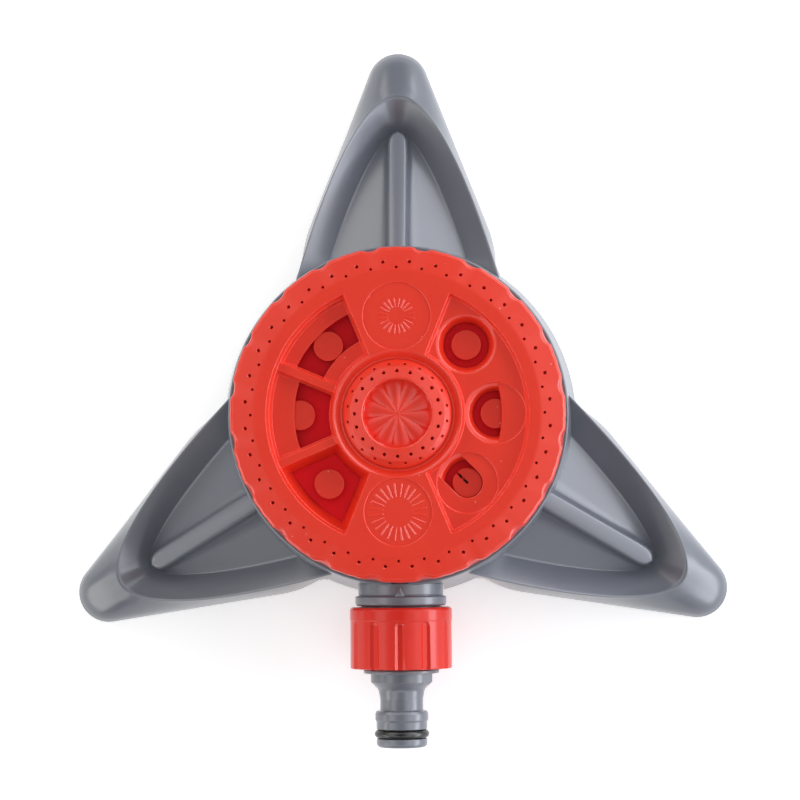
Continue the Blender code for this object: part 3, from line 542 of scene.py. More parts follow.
def helixTree():
    # A ridge or wire that follows a right-handed helix up the local z axis: a closed tube
    tree, given = nodeTree("helixOfWire", (("Turns", "Float"), ("Radius", "Float"), ("Height", "Float"),
                                           ("Wire", "Float"), ("Sides", "Int"), ("Steps", "Int")))
    path = addNode(tree, "GeometryNodeCurveSpiral",
                   {"Resolution": given["Steps"], "Rotations": given["Turns"], "Height": given["Height"],
                    "Start Radius": given["Radius"], "End Radius": given["Radius"]}, {"Reverse": True})
    ring = addNode(tree, "GeometryNodeCurvePrimitiveCircle",
                   {"Resolution": given["Sides"], "Radius": given["Wire"]})
    tube = addNode(tree, "GeometryNodeCurveToMesh", {"Curve": path, "Profile Curve": ring},
                   {"Fill Caps": True})
    return endTree(tree, given, tube)


ringOfCopies = ringTree()
helixOfWire = helixTree()
print("geometry trees made")


def ringOf(name, mesh, count, first, material):
    return grown(makeObject(name, mesh), ringOfCopies,
                 {"Count": count, "First Angle": radians(first), "Material": material})


def helix(name, turns, pitch, radius, wire, sides, steps, material):
    shape = grown(makeObject(name, bpy.data.meshes.new(name)), helixOfWire, {
        "Turns": turns, "Radius": radius, "Height": turns * pitch, "Wire": wire,
        "Sides": sides, "Steps": steps, "Material": material})
    return closeMesh(shape, 0.0001)


# Base: hub and three hollow legs

base = {
    "legTip": 124.3, "legTipRadius": 10.1, "legHalfAngle": 21.25, "legSide": 57.4,
    "shoulderRadius": 33.0, "rootFillet": 6.0, "rootAngle": 36.3, "stations": 60, "roundSteps": 6,
    "legAngles": (0, 120, 240),
    # lines over a leg: apex, width, how it grows with the distance, heights at the apex and at the hub
    "lip": (108.0, 3.72, 0.53, 12.6, 28.6), "valley": (97.2, 2.19, 0.61, 5.0, 20.0),
    # the same for the leg's rib, whose sides run straight after a round end
    "ribFoot": (96.9, 3.7, 6.0, 25.2), "ribEdge": (96.3, 3.1, 10.1, 31.9), "crown": (95.9, 0, 10.7, 32.6),
    "ribEnd": 1.2,
    "brace": {"angles": (30, 90, 150, 210, 330), "half": 0.8, "foot": 24, "from": 8, "to": 54.4},
    "hubRadius": 59.0, "hubTopRadius": 55.3, "hubTop": 35.3, "hubWall": 2.2, "hubBottom": 0.8,
    "shoulder": 0.6, "deckEdge": 53.4, "deckTop": 33.3, "deckUnder": 31.1,
    "boss": 8.6, "bossFoot": 18, "bore": 5.1, "neckHalf": 14.08, "portHole": 8.5,
    "pocket": 4.4, "pocketFoot": 15.5, "plungerHole": 2.6,
    "screwBoss": 3.6, "screwBossFoot": 26, "screwHole": 1.7}
hubLean = (base["hubRadius"] - base["hubTopRadius"]) / base["hubTop"]
ears = ((14.5, -26), (14.5, -44), (-14.5, -44), (-14.5, -26))    # the valve body's screws
plungerAt = (0, 44)
station = 31.5               # from the dial's axis to the port and to the middle of each pattern


def hubMiddle(height):
    return base["hubRadius"] - hubLean * height - base["hubWall"] / 2


def legOutline(share):
    # Ground outline of a leg: round tip, straight side, round shoulder, fillet into the hub
    runs = ((base["legTipRadius"] * radians(90 - base["legHalfAngle"]), 1 / base["legTipRadius"]),
            (base["legSide"], 0),
            (base["shoulderRadius"] * radians(base["legHalfAngle"]), 1 / base["shoulderRadius"]),
            (base["rootFillet"] * radians(90 - base["rootAngle"]), -1 / base["rootFillet"]))
    left = share * sum(length for length, _ in runs)
    distance, side, heading = base["legTip"], 0.0, 0.0
    for length, bending in runs:
        walked = min(left, length)
        left -= walked
        if bending:
            after = heading + walked * bending
            distance += (cos(after) - cos(heading)) / bending
            side += (sin(after) - sin(heading)) / bending
            heading = after
        else:
            distance -= walked * sin(heading)
            side += walked * cos(heading)
    return distance, side


def arch(apex, halfWidth, low, high):
    # A U-shaped line over the leg that opens towards the hub: its apex, its half width at a
    # distance behind the apex, and its heights at the apex and at the hub
    near, far = 0.0, apex
    for _ in range(40):
        reach = (near + far) / 2
        if hypot(apex - reach, halfWidth(reach)) > hubMiddle(high):
            near = reach
        else:
            far = reach

    def point(share):
        behind = reach * share ** 2
        return Vector((apex - behind, halfWidth(behind), low + (high - low) * share ** 2))

    return point


def legMesh():
    # Cross-sections along the leg, each a rounded line from the rib's crown to the ground
    def curved(apex, wide, power, low, high):
        return arch(apex, lambda x: wide * x ** power, low, high)

    def straight(apex, wide, low, high):
        return arch(apex, lambda x: wide * (1 - exp(-x / base["ribEnd"])), low, high)

    def flank(inwards, height, tip=0.0):
        def point(share):
            ground, top = Vector((*legOutline(share), 0)), lip(share)
            share = min(share / 0.35, 1)
            up = height + (tip - height) * (1 - share)
            return Vector((ground.x + (top.x - ground.x) * inwards,
                           ground.y + (top.y - ground.y) * inwards, top.z * up))
        return point

    lip, valley = curved(*base["lip"]), curved(*base["valley"])
    ribFoot, ribEdge, crown = straight(*base["ribFoot"]), straight(*base["ribEdge"]), straight(*base["crown"])

    # line, how far its corner is rounded, shift inwards and down to the inner side
    lines = ((crown, 0.5, 0, 2.4), (ribEdge, 0.3, 0, 2.4), (ribFoot, 0.25, 0, 2.4),
             (valley, 0.04, -0.8, 2.2), (lip, 0.09, 1.8, 5.0), (flank(0.5, 0.76, 0.62), 0.5, 1.6, 2.0),
             (flank(0.12, 0.4, 0.28), 0.5, 2.2, 0.6), (flank(0, 0), 0, 2.2, 0))
    steps = base["roundSteps"]

    def section(points):
        made = []
        for i, point in enumerate(points[:-1]):
            before = points[i - 1] if i else Vector((point.x, -points[1].y, points[1].z))
            share = lines[i][1]
            first, last = point.lerp(before, share), point.lerp(points[i + 1], share)
            for k in range(0 if i else steps // 2, steps + 1):
                t = k / steps
                made.append(first.lerp(point, t).lerp(point.lerp(last, t), t))
        return made + [points[-1]]

    rows = []
    for i in range(base["stations"] + 1):
        share = i / base["stations"]
        upper, under = [], []
        for line, _, inwards, down in lines:
            point = line(share)
            step = line(min(share + 0.01, 1)) - line(max(share - 0.01, 0))
            inner = Vector((-step.y, step.x, 0)).normalized() if share else Vector((-1, 0, 0))
            moved = point + inner * inwards - Vector((0, 0, down))
            moved.y = 0 if line is crown else max(moved.y, 0)
            if share == 1:
                for spot in (point, moved):
                    scale = hubMiddle(spot.z) / hypot(spot.x, spot.y)
                    spot.x *= scale
                    spot.y *= scale
            upper.append(point)
            under.append(moved)
        if share == 0:
            for spot in upper + under:
                spot.y = 0
        rows.append(section(upper) + section(under)[::-1])
    points = [(side * p.y, p.x, p.z) for side in (1, -1) for row in rows for p in row]
    count = len(rows[0])
    half = len(rows) * count
    faces = []
    for side in range(2):
        quads = []
        for i in range(side * half, (side + 1) * half - count, count):
            quads += [(a, a + 1, a + count + 1, a + count) for a in range(i, i + count - 1)]
        # the open end inside the hub's wall
        a, b = (side + 1) * half - count, (side + 1) * half - 1
        quads += [(a + k, a + k + 1, b - k - 1, b - k) for k in range(count // 2 - 1)]
        faces += quads if side else [quad[::-1] for quad in quads]
    return closeMesh(newMesh("leg", points, faces), 0.002)


def rodsAtEars(name, low, high, radius, sides):
    return [rodMesh(f"{name}{i}", (*ear, low), (*ear, high), radius, sides) for i, ear in enumerate(ears)]


def makeBase():
    top, rim, wall = base["hubTop"], base["hubTopRadius"], base["hubWall"]
    deck, under, boss, bore = base["deckTop"], base["deckUnder"], base["boss"], base["bore"]
    lower = base["hubRadius"] - 0.06
    hub = makeObject("baseShell", revolved("hub", (
        (rim - 0.02, top, base["shoulder"]), (lower, base["hubBottom"], 0.3),
        (lower - wall, base["hubBottom"], 0.3), (base["deckEdge"], under, 1.2), (boss, under, 1.0),
        (boss, base["bossFoot"], 0.3), (bore, base["bossFoot"], 0.3), (bore, deck, 0.3),
        (rim - wall - 0.1, deck, 0.5), (rim - wall, top, 0.3)), 6, 240))
    leg = legMesh()
    legs = []
    for angle in base["legAngles"]:
        mesh = leg.copy()
        mesh.name = f"leg{angle}"
        legs.append(turned(mesh, angle))
    combine(hub, legs, "UNION")

    # Under the deck: braces, the plunger's pocket and the screws' bosses
    angles, side, foot, near, far = base["brace"].values()
    outline = softened(((near, foot, 0.2), (far, foot, 0.2), (far, under + 0.3), (near, under + 0.3)), 3)
    extra = [turned(lofted(f"brace{angle}", [[(x, y, z) for x, z in outline] for y in (-side, side)]), angle)
             for angle in angles]
    extra.append(rodMesh("pocket", (*plungerAt, base["pocketFoot"]), (*plungerAt, under + 0.5),
                         base["pocket"], 32))
    extra += rodsAtEars("boss", base["screwBossFoot"], under + 0.5, base["screwBoss"], 28)
    combine(hub, extra, "UNION")

    # The arch that the neck stands in, and the holes
    half = base["neckHalf"]
    low = -5 - hoseHeight
    notch = [(half, low), (half, 0)] + arc(half, 0, 180, 40)[1:-1] + [(-half, 0), (-half, low)]
    cuts = [lofted("neckArch", [[(x, y, z + hoseHeight) for x, z in notch] for y in (-52.2, -64)]),
            rodMesh("portHole", (0, -station, 29), (0, -station, 36), base["portHole"], 48),
            rodMesh("plungerHole", (*plungerAt, 17.5), (*plungerAt, 36), base["plungerHole"], 24)]
    combine(hub, cuts + rodsAtEars("bossHole", 22, 31.2, base["screwHole"], 16))
    return finishPiece(hub, dialPlace, greyPlastic, "base", ["base_shell"], 38)


makeBase()


# Spray face: outer ring, two recessed decks, windows, masks and pictograms

face = {
    "top": 47.0, "deck": 45.0, "mask": 43.0, "maskUnder": 41.8, "lid": 44.4, "lidUnder": 42.9,
    "floor": 37.4, "skirt": 36.3, "foot": 38.0, "channelTop": 43.2, "draft": 0.34,
    "scoops": 20, "firstScoop": 9, "scoopDepth": (0.3, 1.05), "scoopHalf": 2.9, "scoopFrom": 52.2,
    "scoopTop": 45.7, "dip": 0.12, "dipAt": 6.8, "dipHalf": 1.1,
    "cup": 9.9, "well": 6.6, "maskEdge": 33.4, "slotHalf": 4.9,
    # pie-shaped cells and windows: inner radius, outer radius, distance from the edges, corner radius
    "deckHalf": 67.5, "deckSize": (20.9, 42.3, 1.0, 0.5), "cellHalf": 22.5, "cell": (21.2, 41.35, 1.3, 0.7),
    "chamber": (22.2, 40.3, 2.3, 0.7), "bandWindow": (26.6, 36.1, 2.06, 0.4),
    "wideWindow": (22.1, 33.4, 2.06, 0.4), "windowFoot": 41.0,
    # pictograms: angle, count of rays, where they start and end
    "mistRays": (90, 20, 2.76, 5.9), "showerRays": (270, 24, 4.8, 9.3), "fieldRadius": 10.9,
    "fieldDepth": 0.35,
    # count, first angle, radius, height, hole radius, lean outwards
    "holes": ((36, 5, 49.2, 46.44, 0.58, 20), (36, 0, 47.3, 46.78, 0.44, 12))}


def circle(radius, centre, count=72):
    return lambda grow: [polar(radius + grow, 360 * i / count, centre) for i in range(count)]


def sector(middle, half, inner, outer, inset, corner):
    # Pie-shaped outline with rounded corners; grow moves it outwards all round.
    steps = max(int(half * 0.55), 10)

    def outline(grow):
        near, far, edge, bend = inner - grow, outer + grow, inset - grow, max(corner + grow, 0.08)
        wide = half - degrees(asin((edge + bend) / (far - bend)))
        tight = half - degrees(asin((edge + bend) / (near + bend)))
        made = arc(far, middle - wide, middle + wide, steps)
        made += arc(bend, middle + wide, middle + half + 90, 6, polar(far - bend, middle + wide))[1:]
        made += arc(bend, middle + half + 90, middle + tight + 180, 6, polar(near + bend, middle + tight))
        made += arc(near, middle + tight, middle - tight, steps // 2)[1:]
        made += arc(bend, middle - tight + 180, middle - half + 270, 6,
                    polar(near + bend, middle - tight))[1:]
        return made + arc(bend, middle - half - 90, middle - wide, 6, polar(far - bend, middle - wide))[:-1]
    return outline


def pocket(name, outline, floor, top, draft=0.0, edge=0.3, fillet=0.4):
    # A cutter with leaning walls, a rounded foot and a rounded upper edge
    foot = -draft * (top - floor)
    levels = [(floor, foot - fillet)]
    if fillet:
        for turn in (30, 60, 90):
            levels.append((floor + fillet * (1 - cos(radians(turn))),
                           foot - fillet * (1 - sin(radians(turn)))))
    for turn in (0, 20, 40, 60, 76):
        levels.append((top - edge + edge * sin(radians(turn)),
                       -draft * edge + edge * (1 - cos(radians(turn)))))
    mouth = levels[-1][1] + 0.1
    levels += [(top + 0.02, mouth), (top + 0.5, mouth)]
    return lofted(name, [[(x, y, z) for x, y in outline(grow)] for z, grow in levels])


def leaningHoles(name, holes, depth):
    # Rings of spray holes that lean away from the dial's centre, with broken edges
    made = []
    for count, first, radius, height, size, lean in holes:
        out, up = sin(radians(lean)), cos(radians(lean))
        rings = []
        for along, wide in ((-depth, size), (-0.12, size), (0.1, size * 1.3), (1.2, size * 1.3)):
            ring = [polar(wide, 360 * i / 14) for i in range(14)]
            rings.append([(radius + along * out + x * up, y, height + along * up - x * out)
                          for x, y in ring])
        made.append(ringOf(name, lofted(name, rings), count, first, paintedShadeRed))
    return made


def scooped(radius, height, angle):
    # The rim's finger scoops, deeper at the top, with a shallow dip each side of a crest
    if radius < face["scoopFrom"]:
        return radius, height
    half = 180 / face["scoops"]
    away = abs((angle - face["firstScoop"] + half) % (2 * half) - half)
    share = min(max((height - face["skirt"]) / (face["scoopTop"] - face["skirt"]), 0), 1)
    low, high = face["scoopDepth"]
    along = radians(away) * radius / face["scoopHalf"]
    cut = (low + (high - low) * share) * max(1 - along ** 2, 0)
    return radius - cut - face["dip"] * exp(-((away - face["dipAt"]) / face["dipHalf"]) ** 2), height


def placed(mesh, angle):
    return shifted(mesh, *polar(station, angle))


def bowl(name, top, rim, angle):
    # Cutter for a cup: a sloping bowl over a straight well
    return placed(revolved(name, (
        (0, face["floor"]), (7.3, face["floor"]), (7.4, 41.4, 1.0), (rim - 1.1, top - 0.45, 2.2),
        (rim + 0.3, top + 0.03, 0.1), (rim + 0.3, top + 0.6), (0, top + 0.6)), 6, 96, False), angle)


def pictogram(name, angle, count, near, far, level):
    # Thin raised rays round the middle of a plain field
    ray = bar(name + "Ray", [(level + z, near + cut, far - cut, wide, wide * 1.25)
                             for z, wide, cut in ((-0.2, 0.29, 0), (0, 0.29, 0), (0.2, 0.04, 0.2))])
    return placed(ringOf(name, ray, count, 180 / count, redPlastic), angle)


def makeSprayFace():
    top, deck, draft, mask, floor = face["top"], face["deck"], face["draft"], face["mask"], face["floor"]
    skirt, foot, channel = face["skirt"], face["foot"], face["channelTop"]
    thing = makeObject("sprayFace", revolved("face", (
        (17.7, 45.3, 0.15), (18.3, 45.35, 0.6), (19.9, 46.6, 0.8), (20.5, top, 0.25), (21.0, top),
        (44.6, top), (46.1, top, 9), (53.25, 45.7, 0.7), (53.95, 45.1, 0.6), (54.15, 44.3, 1),
        (54.4, skirt, 0.2), (52.4, skirt, 0.2), (52.4, foot), (50.4, foot), (50.4, channel),
        (44.6, channel), (44.6, foot), (17.7, foot)), 5, 480, warp=scooped))

    # The two decks, then the fields for the pictograms
    level = top - face["fieldDepth"]
    cuts = [pocket(f"deck{middle}", sector(middle, face["deckHalf"], *face["deckSize"]), deck, top,
                   draft, 0.35, 0.35) for middle in (0, 180)]
    cuts += [pocket(f"field{angle}", circle(face["fieldRadius"], polar(station, angle), 96), level, top,
                    0.1, 0.3, 0.04) for angle in (90, 270)]
    combine(thing, cuts)

    # Left side: recesses over two masks and one open cell, then windows and chambers
    def cell(angle, kind="cell"):
        return sector(angle, face["cellHalf"], *face[kind])

    masked = {135: "bandWindow", 180: "wideWindow"}
    combine(thing, [pocket(f"recess{angle}", cell(angle), mask, deck, draft, 0.25, 0.3) for angle in masked])
    combine(thing, [pocket(f"chamber{angle}", cell(angle, "chamber"), floor, face["maskUnder"] - 0.5,
                           0, 0.01, 0) for angle in masked])
    cuts = [pocket(kind, cell(angle, kind), face["windowFoot"], mask, 0.1, 0.14, 0)
            for angle, kind in masked.items()]
    combine(thing, cuts + [pocket("openCell", cell(225), floor, deck, draft, 0.25, 0)])

    # Right side: a round cup, a half-masked cup and a slotted cup
    lids = [pocket(f"lid{angle}", circle(face["cup"], polar(station, angle)), face["lid"], deck,
                   0.1, 0.22, 0.2) for angle in (0, -45)]
    combine(thing, lids + [bowl("roundCup", deck, face["cup"], 45)])
    combine(thing, [rodMesh(f"well{angle}", (*polar(station, angle), floor),
                            (*polar(station, angle), face["lidUnder"]), face["well"], 48)
                    for angle in (0, -45)])
    half = makeObject("halfCup", bowl("halfBowl", face["lid"], face["cup"] - 0.4, 0))
    edge = face["maskEdge"]
    combine(half, [revolved("maskEdge", (
        (0, 37), (edge, 37), (edge + 0.1, 44.1), (edge + 0.3, 44.45, 0.15), (edge + 0.3, 45.6), (0, 45.6)),
        4, 240, False)], "INTERSECT")
    slotted = makeObject("slotCup", bowl("slotBowl", face["lid"], face["cup"] - 0.4, -45))
    rings = []
    for height, grow in ((37, 0), (44.15, 0), (44.3, 0.05), (44.42, 0.22), (45.6, 0.22)):
        wide = face["slotHalf"] + grow
        outline = arc(wide, -90, 90, 24) + [(-13, wide), (-13, -wide)]
        rings.append([(x, y, height) for x, y in outline])
    combine(slotted, [placed(turned(lofted("slotSides", rings), -45), -45)], "INTERSECT")
    combine(thing, [half.data, slotted.data])
    for helper in (half, slotted):
        bpy.data.objects.remove(helper)

    # Spray holes, then the pictograms' rays
    for holes in leaningHoles("ringHoles", face["holes"], 3.2):
        combine(thing, [holes])
    combine(thing, [pictogram(name, *face[name], level) for name in ("mistRays", "showerRays")], "UNION")
    return finishPiece(thing, dialPlace, redPlastic, "dial", ["spray_face"])


makeSprayFace()


# Centre cone: a pleated dish inside two bands of spray holes

cone = {
    "pleats": 10, "firstGroove": 8, "grooveDepth": 0.85, "foot": 38.0,
    "dishRadius": 10.7, "dishTop": 46.9, "dishUnder": 42.8, "rimDip": 1.9,
    # in the same order as the face's holes
    "holes": ((20, 9, 16.2, 47.37, 0.54, 45), (20, 0, 13.8, 48.6, 0.54, 20))}


def pleated(radius, height, angle):
    # The dish's points carry no height and get it here: soft ridges and sharp grooves that
    # deepen towards the dish's rim
    if height:
        return radius, height
    turn = 360 / cone["pleats"]
    away = abs((angle - cone["firstGroove"] + turn / 2) % turn - turn / 2) / (turn / 2)
    ridge = sin(radians(90 * away)) ** 0.75
    share = radius / cone["dishRadius"]
    sunk = cone["rimDip"] * share ** 1.4 * 0.55 + cone["grooveDepth"] * share * (1 - ridge)
    return radius, cone["dishTop"] - sunk


def makeCentreCone():
    foot, under = cone["foot"], cone["dishUnder"]
    dish = tuple((cone["dishRadius"] * k / 14, 0) for k in range(15))
    thing = makeObject("centreCone", revolved("cone", dish + (
        (10.9, 46.0), (11.1, 49.0, 0.1), (11.5, 49.3, 0.35), (15.2, 48.3, 0.15), (17.2, 46.3, 0.5),
        (17.64, 45.5, 0.15), (17.64, foot, 0.2), (15.8, foot), (15.8, 45.4), (14.4, 46.8), (12.2, 47.4),
        (12.2, foot), (9.4, foot), (9.4, under), (0, under)), 5, 360, False, pleated))
    for holes in leaningHoles("coneHoles", cone["holes"], 2.2):
        combine(thing, [holes])
    return finishPiece(thing, dialPlace, redPlastic, "dial", ["centre_cone"])


makeCentreCone()


# Port plate under the dial, with its spindle and click bumps

plate = {"radius": 52.0, "bottom": 34.5, "top": 37.7, "port": 3.9, "spindle": 4.8, "foot": 17.5,
         "stations": 8, "bumpTurn": 5.0, "bumpRadius": 44.0, "bumpHalf": 1.8, "screwHole": 2.2}


def makePlate():
    low, high, port, foot = plate["bottom"], plate["top"], plate["port"], plate["foot"]
    thing = makeObject("manifoldPlate", revolved("plate", (
        (0, high), (plate["radius"], high, 0.3), (plate["radius"], low, 0.6),
        (plate["spindle"], low, 0.4), (plate["spindle"], foot, 0.5), (0, foot)), 5, 240, False))
    middle, half = plate["bumpRadius"], plate["bumpHalf"]
    bump = bar("bump", [(low + z, middle - half * wide, middle + half * wide, wide * long)
                        for z, wide, long in ((-0.7, 0.9, 0.35), (-0.6, 0.98, 0.55), (-0.2, 1, 1.2),
                                              (0.4, 1, 1.6))])
    for side in (-1, 1):
        bumps = ringOf("bumps", bump, plate["stations"], side * plate["bumpTurn"], paintedShadeRed)
        combine(thing, [bumps], "UNION")
    cutter = placed(revolved("port", (
        (0, low - 1), (port + 0.2, low - 1), (port + 0.2, low, 0.1), (port, low + 0.2), (port, high - 0.2),
        (port + 0.3, high + 0.1), (port + 0.3, high + 1), (0, high + 1)), 3, 48, False), 0)
    combine(thing, [ringOf("ports", cutter, plate["stations"], 0, paintedShadeRed),
                    rodMesh("screwHole", (0, 0, foot - 1), (0, 0, 29), plate["screwHole"], 32)])
    return finishPiece(thing, dialPlace, paintedShadeRed, "dial", ["manifold_plate"])


makePlate()


# Deflector buttons on stems with three fins

nozzle = {"radius": 4.8, "top": 41.4, "stem": 1.7, "foot": 34.9, "finTop": 37.3, "finReach": 3.6,
          "slotHalf": 0.38, "feed": 0.95,
          "angles": {"round": 45, "half": 0, "slot": -45, "band": 135, "wide": 180, "open": 225}}


def makeNozzle(name, angle):
    top, size, stem, foot = nozzle["top"], nozzle["radius"], nozzle["stem"], nozzle["foot"]
    thing = makeObject("nozzle" + name.capitalize(), revolved(name, (
        (0, top), (size, top, 0.22), (size, top - 1.5, 0.3), (stem + 0.2, top - 2.6, 0.6),
        (stem, foot, 0.15), (0, foot)), 5, 96, False))
    reach, finTop = nozzle["finReach"], nozzle["finTop"]
    fin = bar("fin", ((foot + 0.1, 0.4, reach - 0.3, 0.5), (foot + 0.4, 0.4, reach, 0.6),
                      (finTop - 0.3, 0.4, reach, 0.6), (finTop, 0.4, reach - 0.3, 0.45)))
    combine(thing, [ringOf("fins", fin, 3, 0, redPlastic)], "UNION")
    if name == "slot":
        # The narrow slot that feeds the flat spray
        half = nozzle["slotHalf"]
        outline = [(-6, half), (-6, -half)] + arc(half, -90, 90, 8, (-0.1, 0))
        combine(thing, [upright("slotCut", outline, (39.0, 42)),
                        rodMesh("feed", (-0.6, 0, 34), (-0.6, 0, 40.4), nozzle["feed"], 20)])
    placed(turned(thing.data, angle), angle)
    return finishPiece(thing, dialPlace, redPlastic, "dial", ["nozzle_" + name])


for name, angle in nozzle["angles"].items():
    makeNozzle(name, angle)


# Water inlet: neck with its pointer, rounded flange and threaded spigot

inlet = {
    "neck": 14.0, "neckStep": 13.5, "stepAt": 54.7, "start": 52.6, "flange": (58.9, 62.0),
    "flangeRadius": 15.0, "spigot": 13.0, "end": 72.5, "duct": 9.2, "bore": 7.2, "cup": 8.2, "cupBore": 6.5,
    "ear": 3.6, "earLevels": (23.2, 25.7), "screwHole": 1.7,
    "pointer": ((0, -55.9), (1.5, -58.7), (-1.5, -58.7)), "pointerMiddle": -57.8,
    "pitch": 1.814, "threadTurns": 4.6, "threadWire": 0.4, "threadStart": 62.9}


def makeValveBody():
    low, high = inlet["flange"]
    wide, neck, step, start = inlet["flangeRadius"], inlet["neck"], inlet["stepAt"], inlet["start"]
    spigot, end, duct, bore = inlet["spigot"], inlet["end"], inlet["duct"], inlet["bore"]
    body = revolved("neck", (
        (0, end), (spigot - 0.6, end, 0.3), (spigot, end - 0.8), (spigot, high, 0.2), (wide, high, 1.5),
        (wide, low, 1.3), (14.3, low, 0.15), (13.75, low - 0.35, 0.15), (neck, low - 0.75, 0.2),
        (neck, step, 0.3), (inlet["neckStep"], step - 0.25, 0.15), (inlet["neckStep"], start, 0.3),
        (duct, start, 0.6), (duct, 31.5), (0, 31.5)), 6, 160, False)
    body.transform(hoseInDial)
    thing = makeObject("valveBody", body)

    # Tongue below the neck, cup under the dial's port, ears and the pointer
    width = degrees(asin(neck / base["hubRadius"]))
    rings = []
    for z in (1.2, 1.5, hoseHeight):
        surface = base["hubRadius"] - hubLean * z
        rings.append([(x, y, z) for x, y in arc(surface - 0.3, 270 - width, 270 + width, 30)
                      + arc(surface - base["hubWall"], 270 + width, 270 - width, 30)])
    port = (0, -station)
    extra = [lofted("tongue", rings),
             rodMesh("cup", (*port, hoseHeight - duct), (*port, 33.3), inlet["cup"], 72)]
    for i, ear in enumerate(ears[:2]):
        outline = arc(inlet["ear"], -90, 90, 16, ear) + arc(inlet["ear"], 90, 270, 16, (-ear[0], ear[1]))
        extra.append(upright(f"ears{i}", outline, inlet["earLevels"]))
    combine(thing, extra, "UNION")
    middle = inlet["pointerMiddle"]
    combine(thing, [lofted("pointer", [[(x * grow, middle + (y - middle) * grow, z)
                                        for x, y in inlet["pointer"]]
                                       for z, grow in ((34.6, 1.15), (36.15, 1.1), (36.48, 0.45))])], "UNION")
    cup = rodMesh("cupBore", (*port, hoseHeight - bore), (*port, 36), inlet["cupBore"], 64)
    combine(thing, [cup] + rodsAtEars("earHole", 22, 27, inlet["screwHole"], 20))
    channel = rodMesh("bore", (0, 0, 30.5), (0, 0, end + 1), bore, 72)
    channel.transform(hoseInDial)
    combine(thing, [channel])
    thread = shifted(helix("spigotThread", inlet["threadTurns"], inlet["pitch"], spigot - 0.02,
                           inlet["threadWire"], 6, 72, greyPlastic), z=inlet["threadStart"])
    thread.transform(hoseInDial)
    combine(thing, [thread], "UNION")
    return finishPiece(thing, dialPlace, greyPlastic, "base", ["valve_body"], 36)


makeValveBody()


# Union nut with round-ended grip grooves and an inner thread

nut = {
    "radius": 16.8, "start": 62.4, "end": 82.5, "inside": 13.5, "lip": 77.7, "lipBore": 10.7,
    "ledge": 66.6, "grooves": 12, "grooveWidth": (0.75, 1.9), "grooveDepth": 0.82, "grooveStart": 66.9,
    "grooveRound": 1.7, "edgeRound": 0.2, "threadTurns": 6.0, "threadWire": 0.26, "threadStart": 63.2}


def makeNut():
    low, high, wide, inside = nut["start"], nut["end"], nut["radius"], nut["inside"]
    ledge, lip, lipBore = nut["ledge"], nut["lip"], nut["lipBore"]
    thing = makeObject("unionNut", revolved("nut", (
        (inside, low, 0.3), (wide, low, 1.1), (wide, ledge, 0.1), (wide - 0.14, ledge + 0.25, 0.1),
        (wide - 0.05, high, 0.45), (lipBore, high, 0.4), (lipBore, lip, 0.2), (inside, lip, 0.2)), 6, 240))
    floor, mouth = nut["grooveWidth"]
    depth, start, bend = nut["grooveDepth"], nut["grooveStart"], nut["grooveRound"]
    levels = [(start + bend * (1 - cos(radians(turn))), sin(radians(turn)))
              for turn in (4, 15, 30, 45, 60, 75, 90)]
    levels += [(high - 0.3, 1), (high + 1, 1.3)]
    rings = []
    for z, grow in levels:
        side = [(wide + 0.5, (mouth + 0.6) * grow), (wide, mouth * grow), (wide - depth * grow, floor * grow)]
        rings.append([(x, -y, z) for x, y in side] + [(x, y, z) for x, y in side[::-1]])
    combine(thing, [ringOf("grooves", lofted("groove", rings), nut["grooves"], 0, nutPlastic)])
    soften = thing.modifiers.new("grooveEdges", "BEVEL")
    soften.width = nut["edgeRound"]
    soften.segments = 3
    soften.limit_method = "ANGLE"
    soften.angle_limit = radians(24)
    evaluated(thing)
    thread = helix("nutThread", nut["threadTurns"], inlet["pitch"], inside + 0.06, nut["threadWire"], 6, 72,
                   nutPlastic)
    combine(thing, [shifted(thread, z=nut["threadStart"] + inlet["pitch"] / 2)], "UNION")
    return finishPiece(thing, hosePlace, nutPlastic, "nut", ["union_nut"], 36)


makeNut()


# Hose tail: quick-connector profile with two spanner flats, O-ring, swivel sleeve and washer

tail = {"end": 108.3, "bore": 5.2, "waist": 7.05, "ridge": 8.7, "body": 8.3, "collar": 10.1,
        "groove": 6.25, "ring": (102.4, 105.4), "ringRadius": 7.62, "ringWire": 1.34,
        "flat": 9.25, "flatTurn": 22.0, "seamTurn": 109.7}


def makeTail():
    waist, ridge, body, bore, collar = (tail[key] for key in ("waist", "ridge", "body", "bore", "collar"))
    groove, end = tail["groove"], tail["end"]
    first, last = tail["ring"]
    thing = makeObject("hoseTail", revolved("tail", (
        (bore, 75.6, 0.3), (8.6, 75.6, 0.3), (8.6, 82.9), (12.45, 82.9, 0.3), (12.45, 84.1, 0.35),
        (collar, 84.1, 0.3), (collar, 87.0, 0.3), (7.6, 89.4, 2.4), (waist, 92.6, 3), (waist, 96.2, 0.5),
        (ridge - 0.35, 96.5, 0.25), (ridge, 97.3, 0.3), (ridge, 99.3, 0.3), (body + 0.05, 99.9, 0.2),
        (body, first, 0.25), (groove, first, 0.3), (groove, last, 0.3), (body, last, 0.25),
        (body, end, 1.7), (bore, end, 0.5)), 6, 160))
    far = tail["flat"]
    combine(thing, [turned(bar("flat", [(z, far, far + 6, 12) for z in (84.12, 90.0)]), turn)
                    for turn in (tail["flatTurn"], tail["flatTurn"] + 180)])
    # a short ridge on the parting line of the mould, before the O-ring
    seam = bar("seam", [(z, 7.6, body + 0.1, 0.16, 0.1) for z in (99.9, first - 0.2)])
    combine(thing, [turned(seam, tail["seamTurn"])], "UNION")
    return finishPiece(thing, hosePlace, greyPlastic, "tail", ["hose_tail"])


